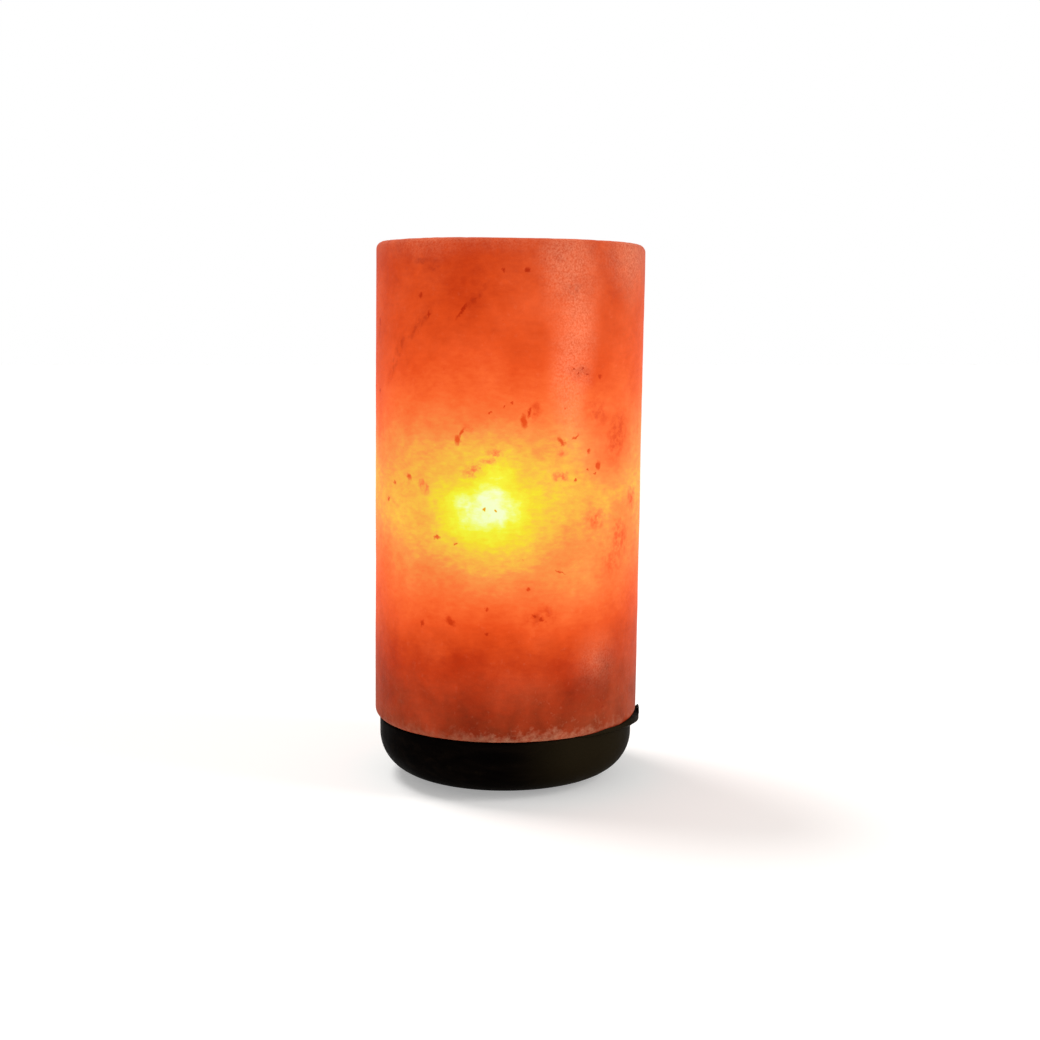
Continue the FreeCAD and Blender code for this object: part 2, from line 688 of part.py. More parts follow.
contact_tongue = new_body("contact_tongue")
tongue = new_sketch(contact_tongue, "tongue_section")
TONGUE_FOOT = f"({CONTACT} - @well_depth)"
TONGUE_CREST = f"({CONTACT} - @tongue_gap - @tongue_thickness)"
outline(
    tongue,
    [
        ("-@tongue_reach", TONGUE_FOOT),
        ("-@tongue_reach / 3", TONGUE_FOOT),
        ("@tongue_thickness / 2", TONGUE_CREST),
        ("@tongue_reach / 2", TONGUE_CREST),
        ("@tongue_reach / 2 + 2 * @tongue_thickness", f"{TONGUE_CREST} - 2 * @tongue_thickness"),
        ("@tongue_reach / 2 + 3 * @tongue_thickness", f"{TONGUE_CREST} - 1.5 * @tongue_thickness"),
        ("@tongue_reach / 2 + @tongue_thickness / 3", f"{TONGUE_CREST} + @tongue_thickness"),
        ("0", f"{TONGUE_CREST} + @tongue_thickness"),
        ("-@tongue_reach / 3 - @tongue_thickness / 2", f"{TONGUE_FOOT} + @tongue_thickness"),
        ("-@tongue_reach", f"{TONGUE_FOOT} + @tongue_thickness"),
    ],
)
padded(contact_tongue, "bent_tongue", tongue, "@tongue_width", both_ways=True)

end_cap = new_body("holder_end_cap")
CAP_TOP = f"({CAP_FOOT} + @cap_height)"
turned(
    end_cap,
    "tapered_cap",
    [
        ("@inlet_radius + @fixing_gap", CAP_FOOT),
        ("@cap_floor_radius", CAP_FOOT),
        ("@grip_radius", f"{CAP_TOP} - @cap_band"),
        ("@grip_radius", CAP_TOP),
        ("@block_radius", CAP_TOP),
        ("@block_radius", f"{CAP_TOP} + @cap_spigot"),
        ("@block_radius - @cap_wall", f"{CAP_TOP} + @cap_spigot"),
        ("@block_radius - @cap_wall", f"{CAP_TOP} - @cap_band"),
        ("@cap_floor_radius - @cap_wall", f"{CAP_FOOT} + @cap_wall"),
        ("@inlet_radius + @fixing_gap", f"{CAP_FOOT} + @cap_wall"),
    ],
)

inlet_tube = new_body("cord_inlet_tube")
turned(
    inlet_tube,
    "threaded_tube",
    [
        ("@inlet_bore", INLET_FOOT),
        ("@inlet_radius", INLET_FOOT),
        ("@inlet_radius", INLET_TOP),
        ("@inlet_bore", INLET_TOP),
    ],
)

cord_bushing = new_body("cord_bushing")
BUSHING_FOOT = f"({INLET_FOOT} - @bushing_lip)"
turned(
    cord_bushing,
    "moulded_bushing",
    [
        ("@inlet_bore + @bushing_round", BUSHING_FOOT),
        ("@bushing_radius - @bushing_round", BUSHING_FOOT, "@bushing_round", -1),
        ("@bushing_radius", f"{BUSHING_FOOT} + @bushing_round"),
        ("@bushing_radius", f"{BUSHING_FOOT} + @bushing_height"),
        ("@inlet_radius + @fixing_gap", f"{BUSHING_FOOT} + @bushing_height"),
        ("@inlet_radius + @fixing_gap", f"{INLET_FOOT} - @fixing_gap"),
        ("@inlet_bore", f"{INLET_FOOT} - @fixing_gap"),
        ("@inlet_bore", f"{BUSHING_FOOT} + @bushing_round", "@bushing_round", -1),
    ],
)

lock_nut = new_body("lock_nut")
hexagon = new_sketch(lock_nut, "hexagon", "XY_Plane", f"{NUT_TOP} - @nut_height")
corner = "@nut_flats / (2 * cos(30 deg))"
outline(
    hexagon,
    [(f"{corner} * cos({60 * k + 30} deg)", f"{corner} * sin({60 * k + 30} deg)") for k in range(6)],
)
circle(hexagon, "0", "0", "@inlet_radius + @fixing_gap")
padded(lock_nut, "hexagon_prism", hexagon, "@nut_height")
for end, sign in ((NUT_TOP, "-"), (f"({NUT_TOP} - @nut_height)", "+")):
    turned(
        lock_nut,
        "upper_bevel" if sign == "-" else "lower_bevel",
        [
            ("@nut_flats * 0.48", end),
            ("@nut_flats * 0.7", end),
            ("@nut_flats * 0.7", f"{end} {sign} @nut_flats * 0.22 * tan(30 deg)"),
        ],
        cut=True,
    )

# ---------------------------------------------------------------------------------------------- sprung clip
clip_yoke = new_body("clip_yoke")
yoke = new_sketch(clip_yoke, "yoke_section")
outline(
    yoke,
    [
        ("-@yoke_reach", f"{YOKE_TOP} - @yoke_drop"),
        ("-@yoke_reach + @yoke_thickness", f"{YOKE_TOP} - @yoke_drop"),
        ("-@yoke_reach + @yoke_thickness", f"{YOKE_TOP} - @yoke_thickness"),
        ("@yoke_reach - @yoke_thickness", f"{YOKE_TOP} - @yoke_thickness"),
        ("@yoke_reach - @yoke_thickness", f"{YOKE_TOP} - @yoke_drop"),
        ("@yoke_reach", f"{YOKE_TOP} - @yoke_drop"),
        ("@yoke_reach", YOKE_TOP),
        ("-@yoke_reach", YOKE_TOP),
    ],
)
padded(clip_yoke, "folded_strip", yoke, "@clip_width + 2 * @yoke_margin", both_ways=True)
softened(
    clip_yoke,
    "outer_bends",
    lambda point: near(point.z, number(YOKE_TOP)) and near(abs(point.x), number("@yoke_reach")),
    "1.4 * @yoke_thickness",
)
yoke_hole = new_sketch(clip_yoke, "yoke_hole_circle", "XY_Plane", YOKE_TOP)
circle(yoke_hole, "0", "0", "@inlet_radius + @fixing_gap")
pocketed(clip_yoke, "yoke_hole", yoke_hole, "@yoke_drop")

WING_TOP = f"({YOKE_TOP} - @yoke_drop - @wing_gap)"
WING_START = "(@yoke_reach - @yoke_thickness / 2)"
HALF_WING = "@wing_thickness / 2"
RUB = f"(sqrt((@bore_radius - @wing_bore_gap) ^ 2 - (@clip_width / 2) ^ 2) - {HALF_WING})"
SHOULDER_TOP = f"({SEAM} + @wing_shoulder_top)"
TAB_BEND = f"({FOOT} + @wing_tab_height)"


def make_wing(name, side):
    """Sprung wing: neck, outward flare, shoulder on the bore, run to the finger tab, curled end."""
    wing = new_body(name)
    path = [
        (f"{side} * {WING_START}", WING_TOP),
        (f"{side} * {WING_START}", f"{WING_TOP} - @wing_neck"),
        (f"{side} * {RUB}", SHOULDER_TOP),
        (f"{side} * {RUB}", f"{SHOULDER_TOP} - @wing_shoulder"),
        (f"{side} * @wing_tab_radius", TAB_BEND),
        (f"{side} * (@wing_tab_radius + @wing_curl * cos(45 deg))", f"{TAB_BEND} - @wing_curl * sin(45 deg)"),
    ]
    swept(wing, "sprung_strip", path, "@clip_width / 2", "@wing_thickness / 2")
    return wing


clip_wing_left = make_wing("clip_wing_left", -1)
clip_wing_right = make_wing("clip_wing_right", 1)

# ---------------------------------------------------------------------------------------------- bulb
contact_button = new_body("bulb_contact_button")
turned(
    contact_button,
    "solder_button",
    [
        ("0", CONTACT),
        ("@button_radius / 2", CONTACT),
        ("@button_radius", f"{CONTACT} + @button_height / 2"),
        ("@button_radius", f"{CONTACT} + @button_height"),
        ("0", f"{CONTACT} + @button_height"),
    ],
)

CAP_EDGE = f"({CONTACT} + @cap_foot)"
insulator = new_body("bulb_insulator")
turned(
    insulator,
    "glass_cone",
    [
        ("0", f"{CONTACT} + @button_height"),
        ("@button_radius", f"{CONTACT} + @button_height"),
        ("@insulator_radius - @turn_gap", CAP_EDGE),
        ("@insulator_radius - @turn_gap", f"{CAP_EDGE} + @cap_sheet"),
        ("0", f"{CAP_EDGE} + @cap_sheet"),
    ],
)

bulb_cap = new_body("bulb_screw_cap")
SKIRT_FOOT = f"({CONTACT} + @cap_skirt_foot)"
CAP_SHOULDER = "(@cap_thread_radius - @insulator_radius) * 0.45"
turned(
    bulb_cap,
    "brass_cap",
    [
        ("@insulator_radius", CAP_EDGE),
        ("@cap_thread_radius", f"{CAP_EDGE} + {CAP_SHOULDER}"),
        ("@cap_thread_radius", f"{SKIRT_FOOT} - @cap_sheet"),
        ("@cap_skirt_radius", f"{SKIRT_FOOT} + 2 * @cap_sheet"),
        ("@cap_skirt_radius", f"{CONTACT} + @cap_length"),
        ("@cap_skirt_radius - @cap_sheet", f"{CONTACT} + @cap_length"),
        ("@cap_skirt_radius - @cap_sheet", f"{SKIRT_FOOT} + 3 * @cap_sheet"),
        ("@cap_thread_radius - @cap_sheet", f"{SKIRT_FOOT}"),
        ("@cap_thread_radius - @cap_sheet", f"{CAP_EDGE} + {CAP_SHOULDER} + @cap_sheet"),
        ("@insulator_radius", f"{CAP_EDGE} + @cap_sheet"),
    ],
)

TAPER = "@bulb_taper * 1 deg"
NECK = f"({CONTACT} + @neck_foot)"


def glass_corners(radius):
    """Where the sphere of a given radius runs into the taper, and where the taper ends at the neck."""
    join_x = f"({radius}) * cos({TAPER})"
    join_z = f"({BULB_CENTRE} - ({radius}) * sin({TAPER}))"
    neck_x = f"({join_x} - ({join_z} - {NECK}) * tan({TAPER}))"
    return join_x, join_z, neck_x


inner_radius = "@bulb_radius - @bulb_wall"
outer_x, outer_z, outer_neck = glass_corners("@bulb_radius")
inner_x, inner_z, inner_neck = glass_corners(inner_radius)
glass_envelope = new_body("glass_envelope")
turned(
    glass_envelope,
    "blown_glass",
    [
        ("0", f"{BULB_CENTRE} + @bulb_radius", "@bulb_radius", 1),
        (outer_x, outer_z),
        (outer_neck, NECK),
        (inner_neck, NECK),
        (inner_x, inner_z, inner_radius, -1),
        ("0", f"{BULB_CENTRE} + {inner_radius}"),
    ],
)

glass_stem = new_body("glass_stem")
STEM_TOP = f"({CONTACT} + @stem_top)"
turned(
    glass_stem,
    "flared_stem",
    [
        ("0", NECK),
        (f"{inner_neck} - @fixing_gap / 2", NECK),
        (f"{inner_neck} - @fixing_gap / 2", f"{NECK} + @bulb_wall"),
        ("@stem_radius", f"{NECK} + @stem_radius + @bulb_wall"),
        ("@stem_radius", f"{STEM_TOP} - @stem_radius / 4"),
        ("@stem_radius * 0.75", STEM_TOP),
        ("0", STEM_TOP),
    ],
)

LIGHT = f"({CONTACT} + @light_centre)"
lead_wires = new_body("lead_wires")
lead_path = [
    ("@lead_foot", STEM_TOP),
    ("@lead_foot", f"{STEM_TOP} + @stem_radius / 2"),
    ("@filament_reach", f"{LIGHT} - @lead_radius"),
    ("@filament_reach", f"{LIGHT} + 3 * @lead_radius"),
]
lead = swept(lead_wires, "lead_wire", lead_path, "@lead_radius", None, round_section=True)
around(lead_wires, "both_leads", lead, 2)

filament = new_body("filament")
ARC_RADIUS = "((@filament_reach ^ 2 + @filament_sag ^ 2) / (2 * @filament_sag))"
section = new_sketch(filament, "filament_section", "YZ_Plane")
circle(section, "0", f"{LIGHT} + @filament_sag", "@filament_radius")
hub = f"{LIGHT} + @filament_sag - {ARC_RADIUS}"
hub_line = section.addGeometry(
    Part.LineSegment(Vector(0, number(hub), 0), Vector(5, number(hub), 0)), True
)
pin(section, hub_line, 1, "0", hub)
pin(section, hub_line, 2, "5", hub)
coil = filament.newObject("PartDesign::Revolution", "coiled_arc")
coil.Profile = section
coil.ReferenceAxis = (section, ["Axis0"])
coil.Midplane = True
coil.setExpression(
    "Angle", bind(f"2 * asin((@filament_reach - @lead_radius - @filament_radius) / {ARC_RADIUS})")
)
filament.Tip = coil

filament_supports = new_body("filament_supports")
support_path = [
    ("@stem_radius / 4", STEM_TOP),
    ("@stem_radius / 4", f"{STEM_TOP} + @stem_radius / 2"),
    ("@filament_reach / 3", f"{LIGHT} + @filament_sag - 3 * @filament_radius"),
]
support = swept(filament_supports, "support_wire", support_path, "@support_radius", None, round_section=True)
around(filament_supports, "both_supports", support, 2)

# ---------------------------------------------------------------------------------------------- export
document.recompute()
for item in document.Objects:
    if "Invalid" in item.State or "Error" in item.State:
        raise RuntimeError(f"{item.Name} is not built: {item.State}")

os.makedirs("parts", exist_ok=True)
bodies = [item for item in document.Objects if item.TypeId == "PartDesign::Body"]
for item in bodies:
    if item.Shape.isNull() or not item.Shape.isValid():
        raise RuntimeError(f"{item.Label} has no valid shape")
    if not item.Shape.Solids:
        raise RuntimeError(f"{item.Label} has no solid")
    item.Shape.exportStep(f"parts/{item.Label}.step")
    print(f"{item.Label}: {len(item.Shape.Solids)} solid(s), {item.Shape.Volume:.1f} mm3")
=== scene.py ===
import logging
import math
from dataclasses import dataclass
from enum import Enum
from typing import ClassVar

import bmesh
import bpy
from mathutils import Matrix, Vector, noise


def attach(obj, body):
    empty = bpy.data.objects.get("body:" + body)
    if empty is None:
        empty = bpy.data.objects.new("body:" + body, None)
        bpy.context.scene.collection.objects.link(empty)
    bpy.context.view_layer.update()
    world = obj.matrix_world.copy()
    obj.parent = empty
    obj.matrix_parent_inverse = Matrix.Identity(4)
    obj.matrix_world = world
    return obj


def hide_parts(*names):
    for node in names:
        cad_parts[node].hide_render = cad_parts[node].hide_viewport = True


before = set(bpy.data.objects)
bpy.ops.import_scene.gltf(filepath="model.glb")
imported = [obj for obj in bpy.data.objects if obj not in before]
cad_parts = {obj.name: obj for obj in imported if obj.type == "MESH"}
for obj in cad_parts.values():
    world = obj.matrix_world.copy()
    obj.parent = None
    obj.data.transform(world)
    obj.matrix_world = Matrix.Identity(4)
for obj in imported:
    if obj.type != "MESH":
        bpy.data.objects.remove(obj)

MM = 0.001
FULL_TURN = 2 * math.pi
LOG = logging.getLogger("salt_lamp")


class Body(Enum):
    """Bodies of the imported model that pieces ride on."""

    HOLDER = "lampholder"
    LAMP = "lamp_body"
    CLIP_LEFT = "clip_left"
    CLIP_RIGHT = "clip_right"
    BULB = "bulb"


class Slot(Enum):
    """Material slots of the record that pieces take their finish from."""

    SALT = "salt"
    DARK_WOOD = "dark_wood"
    ZINC_STEEL = "zinc_steel"
    BRASS = "brass"
    SPRING_STEEL = "spring_steel"
    SOLDER = "solder"
    CLEAR_GLASS = "clear_glass"
    TUNGSTEN = "tungsten"


def linear(hex_code: str) -> tuple[float, float, float, float]:
    """Turns an sRGB hex colour into a linear colour.

    Args:
        hex_code: Six hex digits, such as "D8CDB9".

    Returns:
        Red, green and blue in linear light, with an alpha of 1.
    """
    parts = [int(hex_code[index : index + 2], 16) / 255 for index in (0, 2, 4)]
    curve = [part / 12.92 if part <= 0.04045 else ((part + 0.055) / 1.055) ** 2.4 for part in parts]
    return (curve[0], curve[1], curve[2], 1.0)


def add_node(
    tree: bpy.types.NodeTree,
    kind: str,
    inputs: dict[str | int, object] | None = None,
    stops: list[tuple[float, tuple[float, float, float, float]]] | None = None,
    **settings: object,
) -> bpy.types.Node:
    """Adds a node with its settings, its socket values and its links.

    Args:
        tree: Node tree that takes the node.
        kind: Blender's type name of the node.
        inputs: Values or output sockets by input name or index.
        stops: Places and colours of a colour ramp.
        **settings: Properties of the node.

    Returns:
        The new node.
    """
    node = tree.nodes.new(kind)
    for name, value in settings.items():
        setattr(node, name, value)
    for socket, value in (inputs or {}).items():
        entry = node.inputs[socket]
        if isinstance(value, bpy.types.NodeSocket):
            tree.links.new(value, entry)
        else:
            entry.default_value = value
    for index, (place, colour) in enumerate(stops or []):
        elements = node.color_ramp.elements
        stop = elements[index] if index < 2 else elements.new(place)
        stop.position = place
        stop.color = colour
    return node


def greys(
    pairs: tuple[tuple[float, float], ...],
) -> list[tuple[float, tuple[float, float, float, float]]]:
    """Gives the stops of a ramp whose colours are plain levels."""
    return [(at, (level, level, level, 1.0)) for at, level in pairs]


# ------------------------------------------------------------------------------------ finishes
@dataclass(frozen=True)
class Finish:
    """A surface of the lamp. Each kind dresses the shader of its own material."""

    title: ClassVar[str] = "finish"

    def material(self) -> bpy.types.Material:
        """Makes the finish as a material, or finds it if it is made already.

        Returns:
            The material.
        """
        if self.title in bpy.data.materials:
            return bpy.data.materials[self.title]
        made = bpy.data.materials.new(self.title)
        made.use_nodes = True
        tree = made.node_tree
        tree.nodes.clear()
        shader = add_node(tree, "ShaderNodeBsdfPrincipled")
        add_node(tree, "ShaderNodeOutputMaterial", {"Surface": shader.outputs[0]})
        place = add_node(tree, "ShaderNodeTexCoord").outputs["Object"]
        # every pattern is drawn in millimetres
        place = add_node(
            tree, "ShaderNodeVectorMath", {0: place, "Scale": 1 / MM}, operation="SCALE"
        ).outputs[0]
        self.dress(tree, shader, place)
        return made

    def dress(
        self, tree: bpy.types.NodeTree, shader: bpy.types.Node, place: bpy.types.NodeSocket
    ) -> None:
        """Adds the finish's colour, roughness and relief.

        Args:
            tree: Node tree of the material.
            shader: Its Principled shader.
            place: Object coordinates in millimetres.
        """
        raise NotImplementedError


@dataclass(frozen=True)
class Inclusion:
    """Red clay or mineral caught in the salt, as an ellipsoid at the surface."""

    azimuth: float  # degrees from the front, to the right
    height: float  # mm above the table
    across: float  # mm, half width
    tall: float  # mm, half height
    tilt: float = 0.0  # degrees that its top leans to the right
    faint: float = 0.0  # 0 shows in full and 1 hardly at all


@dataclass(frozen=True)
class GlowSpot:
    """Place where the salt is clear enough to show the bulb behind it."""

    azimuth: float  # degrees from the front, to the right
    height: float  # mm above the table
    size: float  # mm, radius of its white core
    strength: float  # 1 is white hot
    reach: float = 50.0  # mm from the core to where its light ends


@dataclass(frozen=True)
class RockSalt(Finish):
    """Pink rock salt, turned and washed smooth: a frosted, sugary skin over a clouded, glowing body.

    The glow is light from the bulb that has soaked through the salt, so it is the emission of the
    skin. It fades from white through amber to deep red with the length of its way, and clay and
    cracks darken it. Lengths are in millimetres.
    """

    title: ClassVar[str] = "turned rock salt"
    radius: float = 50.0
    seam: float = 22.5
    top: float = 199.5
    # widths of the noises that shift edges, and the most that each shifts
    warp_mm: float = 17.0
    warp_reach: float = 5.0
    lobe_mm: float = 8.0
    lobe_reach: float = 2.4
    crumb_mm: float = 1.5
    crumb_reach: float = 1.3
    # clouds, wisps and grain: widths, and how far each takes the level of light up or down
    cloud_mm: float = 26.0
    cloud_depth: float = 0.06
    wisp_mm: float = 7.0
    wisp_depth: float = 0.035
    grain_mm: float = 1.5
    grain_depth: float = 0.045
    grain_stretch: tuple[float, float, float] = (0.45, 0.45, 1.0)
    # the sugary frost is drawn about twice as coarse as real, so that it shows
    frost_mm: float = 0.7
    fleck_cell_mm: float = 7.0
    chip_mm: float = 2.4
    # the clear places are a little wider than tall
    squash: float = 1.3
    # share of the light that clots, patches and veils keep back
    clot_loss: float = -0.26
    patch_loss: float = -0.3
    veil_loss: float = -0.2
    dent_relief: float = 0.6
    frost_relief: float = 0.14
    ior: float = 1.54
    # low, because the skin is frosted and the white room would haze it
    gloss: float = 0.03
    # colour of the light by how much comes through
    glow: tuple[tuple[float, str], ...] = (
        (0.00, "620A00"),
        (0.10, "921A00"),
        (0.20, "B52700"),
        (0.30, "D13D0B"),
        (0.40, "E44914"),
        (0.50, "F25E25"),
        (0.60, "F47335"),
        (0.70, "F29143"),
        (0.80, "F1BC41"),
        (0.88, "EEDD2A"),
        (0.94, "EDF135"),
        (0.97, "EBF975"),
        (1.00, "EDFDC7"),
    )
    # level of light by height, from the seam to the top
    band: tuple[tuple[float, float], ...] = (
        (0.00, 0.02), (0.02, 0.04), (0.10, 0.12), (0.15, 0.20), (0.20, 0.29), (0.25, 0.42),
        (0.30, 0.53), (0.35, 0.61), (0.40, 0.66), (0.45, 0.70), (0.50, 0.73), (0.55, 0.72),
        (0.60, 0.69), (0.65, 0.58), (0.70, 0.48), (0.79, 0.35), (0.89, 0.28), (1.00, 0.21),
    )
    # level of light by the distance from a clear place
    fade: tuple[tuple[float, float], ...] = (
        (0.00, 1.00), (0.03, 1.00), (0.08, 0.94), (0.135, 0.86), (0.19, 0.78), (0.25, 0.64),
        (0.34, 0.48), (0.42, 0.36), (0.51, 0.26), (0.67, 0.14), (0.80, 0.07), (1.00, 0.00),
    )
    # how much of the grain shows, by the level of light
    grain_shown: tuple[tuple[float, float], ...] = ((0.0, 0.3), (0.5, 0.9), (0.88, 1.0), (0.98, 0.25))
    spots: tuple[GlowSpot, ...] = (
        GlowSpot(-7.7, 103.8, 3.7, 1.0),
        GlowSpot(-16.8, 108.2, 2.2, 0.98, 22.0),
        GlowSpot(-9.0, 95.5, 2.4, 0.8, 14.0),
        GlowSpot(-3.6, 116.0, 1.8, 0.66, 32.0),
        GlowSpot(9.0, 103.5, 2.0, 0.46),
        GlowSpot(24.0, 80.0, 3.0, 0.24),
        GlowSpot(172.0, 104.0, 5.4, 0.98),
        GlowSpot(-166.0, 98.0, 3.6, 0.86),
        GlowSpot(126.0, 101.0, 3.4, 0.62),
        GlowSpot(-124.0, 108.0, 3.6, 0.66),
    )
    # crisp clots, each a dark red crumb of a few millimetres
    clots: tuple[Inclusion, ...] = (
        Inclusion(8.9, 187.7, 0.9, 1.0),
        Inclusion(-0.4, 187.6, 0.6, 0.8),
        Inclusion(-37.0, 179.5, 0.7, 0.9),
        Inclusion(27.9, 153.9, 0.5, 0.4),
        Inclusion(30.1, 152.6, 0.45, 0.45),
        Inclusion(32.4, 154.2, 0.5, 0.35),
        Inclusion(34.0, 152.3, 0.4, 0.5),
        Inclusion(-70.0, 170.8, 1.0, 1.2),
        Inclusion(-17.5, 173.8, 0.5, 3.2, 38.0),
        Inclusion(-32.7, 172.8, 0.5, 1.4, 20.0),
        Inclusion(-70.0, 145.8, 0.8, 1.0),
        Inclusion(-19.5, 129.7, 1.2, 1.5, 10.0),
        Inclusion(-17.6, 132.2, 0.4, 1.8, 24.0),
        Inclusion(7.5, 136.2, 1.0, 2.3, -8.0),
        Inclusion(9.6, 139.2, 0.6, 1.6, 10.0),
        Inclusion(-5.7, 139.1, 0.7, 0.35, -10.0),
        Inclusion(-0.4, 141.4, 0.9, 0.35, -45.0),
        Inclusion(2.6, 142.7, 0.6, 0.35, -15.0),
        Inclusion(22.8, 129.1, 0.9, 1.7, -38.0),
        Inclusion(28.9, 130.5, 1.5, 0.5, -30.0),
        Inclusion(35.5, 125.6, 0.7, 0.9),
        Inclusion(35.1, 119.1, 0.5, 0.4),
        Inclusion(38.6, 117.3, 0.5, 0.4),
        Inclusion(40.3, 120.1, 0.9, 1.5),
        Inclusion(41.1, 151.4, 0.8, 0.8),
        Inclusion(-44.0, 116.2, 1.1, 1.0),
        Inclusion(-54.2, 113.5, 0.6, 0.8),
        Inclusion(-59.3, 107.2, 0.8, 0.8),
        Inclusion(29.1, 115.2, 0.6, 0.5),
        Inclusion(-8.3, 105.7, 0.42, 0.42),
        Inclusion(-3.7, 105.2, 0.38, 0.38),
        Inclusion(-28.9, 95.3, 1.3, 0.7),
        Inclusion(-20.6, 93.4, 0.7, 0.35),
        Inclusion(22.8, 83.4, 2.0, 0.3, 20.0),
        Inclusion(9.1, 77.6, 0.6, 0.6),
        Inclusion(-7.5, 70.7, 0.5, 0.5),
        Inclusion(-7.5, 62.1, 0.55, 0.55),
        Inclusion(-36.5, 64.0, 0.8, 1.1),
        Inclusion(-23.0, 65.8, 1.2, 2.0, -42.0),
        Inclusion(11.8, 68.2, 0.9, 0.6, 20.0),
        Inclusion(14.8, 66.9, 0.8, 0.6),
        Inclusion(118.0, 131.0, 1.2, 2.0, 20.0),
        Inclusion(139.0, 88.0, 1.5, 1.1),
        Inclusion(163.0, 148.0, 0.8, 2.6, -30.0),
        Inclusion(-151.0, 71.0, 1.6, 1.2),
        Inclusion(-128.0, 139.0, 0.9, 1.8, 25.0),
        Inclusion(-95.0, 84.0, 1.2, 0.9),
        Inclusion(92.0, 62.0, 0.9, 1.4),
    )
    # loose groups of crumbs, seen as reddish patches
    patches: tuple[Inclusion, ...] = (
        Inclusion(-36.8, 191.2, 2.2, 0.9, 0.0, -0.5),
        Inclusion(-30.0, 189.6, 1.8, 1.6, 0.0, -0.5),
        Inclusion(-12.0, 178.0, 1.0, 8.0, 40.0),
        Inclusion(-38.6, 169.2, 1.5, 8.0, 42.0, -0.4),
        Inclusion(-52.3, 158.8, 1.6, 10.0, 33.0, -0.3),
        Inclusion(-44.0, 158.0, 4.0, 9.0, 38.0, 0.55),
        Inclusion(31.0, 153.4, 5.0, 3.6),
        Inclusion(28.2, 181.6, 4.0, 2.4),
        Inclusion(11.5, 140.1, 2.6, 3.6, 12.0),
        Inclusion(39.8, 139.1, 4.4, 3.2, 30.0, -0.3),
        Inclusion(51.8, 130.2, 3.8, 6.5, 22.0, -0.45),
        Inclusion(23.7, 125.1, 2.6, 1.6, 0.0, 0.3),
        Inclusion(-15.0, 133.8, 2.6, 1.7, 30.0, 0.3),
        Inclusion(-3.2, 125.0, 4.6, 2.4, 0.0, 0.3),
        Inclusion(-11.8, 119.2, 6.0, 3.0, -14.0, 0.25),
        Inclusion(-6.5, 122.4, 5.0, 2.2, -8.0, 0.35),
        Inclusion(22.8, 117.1, 3.4, 1.9),
        Inclusion(-35.7, 112.9, 3.0, 1.8, 60.0),
        Inclusion(39.5, 101.0, 4.4, 3.6),
        Inclusion(65.0, 107.3, 3.4, 4.6),
        Inclusion(55.0, 93.0, 3.4, 5.0, -12.0, -0.4),
        Inclusion(50.0, 85.0, 8.0, 7.0, 0.0, 0.3),
        Inclusion(13.3, 67.4, 5.6, 2.8),
        Inclusion(17.0, 69.0, 3.8, 2.6, 40.0),
        Inclusion(46.5, 46.1, 3.0, 4.4, 20.0),
        Inclusion(37.8, 27.5, 3.4, 2.2),
        Inclusion(107.0, 118.0, 6.0, 8.0, 30.0),
        Inclusion(150.0, 98.0, 7.0, 5.0),
        Inclusion(-165.0, 160.0, 3.0, 12.0, -34.0),
        Inclusion(-120.0, 92.0, 6.0, 5.0),
        Inclusion(-88.0, 150.0, 3.0, 10.0, 30.0),
    )

    # wide clouded places that let less light through
    veils: tuple[Inclusion, ...] = (
        Inclusion(48.0, 128.0, 15.0, 13.0),
        Inclusion(64.0, 44.0, 21.0, 26.0),
        Inclusion(-74.0, 150.0, 17.0, 26.0),
        Inclusion(-76.0, 62.0, 16.0, 32.0),
        Inclusion(150.0, 150.0, 24.0, 20.0),
        Inclusion(-140.0, 60.0, 22.0, 26.0),
    )
    # painted sheen: paler places standing in for window and room light reflected by the frosted skin
    painted_sheen_zones: tuple[Inclusion, ...] = (
        Inclusion(-25.0, 205.0, 62.0, 11.0),
        Inclusion(26.5, 190.0, 11.0, 18.0, 0.0, -0.1),
        Inclusion(28.0, 166.0, 8.0, 34.0, 2.0),
        Inclusion(62.0, 196.0, 18.0, 16.0),
        Inclusion(42.0, 50.0, 20.0, 19.0, -10.0, 0.6),
        Inclusion(-152.0, 176.0, 10.0, 36.0),
        Inclusion(140.0, 50.0, 18.0, 26.0),
    )

    def dress(
        self, tree: bpy.types.NodeTree, shader: bpy.types.Node, place: bpy.types.NodeSocket
    ) -> None:
        """Adds the clouded body colour, the glow, the inclusions, the frosted skin and painted sheen.

        Args:
            tree: Node tree of the material.
            shader: Its Principled shader.
            place: Object coordinates in millimetres.
        """
        warped = self.warped(tree, place, self.warp_mm, self.warp_reach)
        ragged = self.warped(tree, place, self.crumb_mm, self.crumb_reach)
        clot = self.clot_mask(tree, ragged)
        patch = self.patch_mask(tree, ragged, place)
        fleck = self.fleck_mask(tree, ragged)
        dark = add_node(tree, "ShaderNodeMath", {0: clot, 1: fleck}, operation="MAXIMUM").outputs[0]
        level = self.soaked_light(tree, place, warped)
        veil = self.veil_mask(tree, warped)
        for mask, loss in ((dark, self.clot_loss), (patch, self.patch_loss), (veil, self.veil_loss)):
            kept = add_node(
                tree, "ShaderNodeMath", {0: mask, 1: loss, 2: 1.0}, operation="MULTIPLY_ADD"
            ).outputs[0]
            level = add_node(
                tree, "ShaderNodeMath", {0: level, 1: kept}, operation="MULTIPLY"
            ).outputs[0]
        colours = [(at, linear(code)) for at, code in self.glow]
        glow = add_node(tree, "ShaderNodeValToRGB", {0: level}, stops=colours).outputs[0]
        glow = add_node(
            tree,
            "ShaderNodeMix",
            {0: dark, 6: glow, 7: linear("EACAA0")},
            data_type="RGBA",
            blend_type="MULTIPLY",
        ).outputs[2]
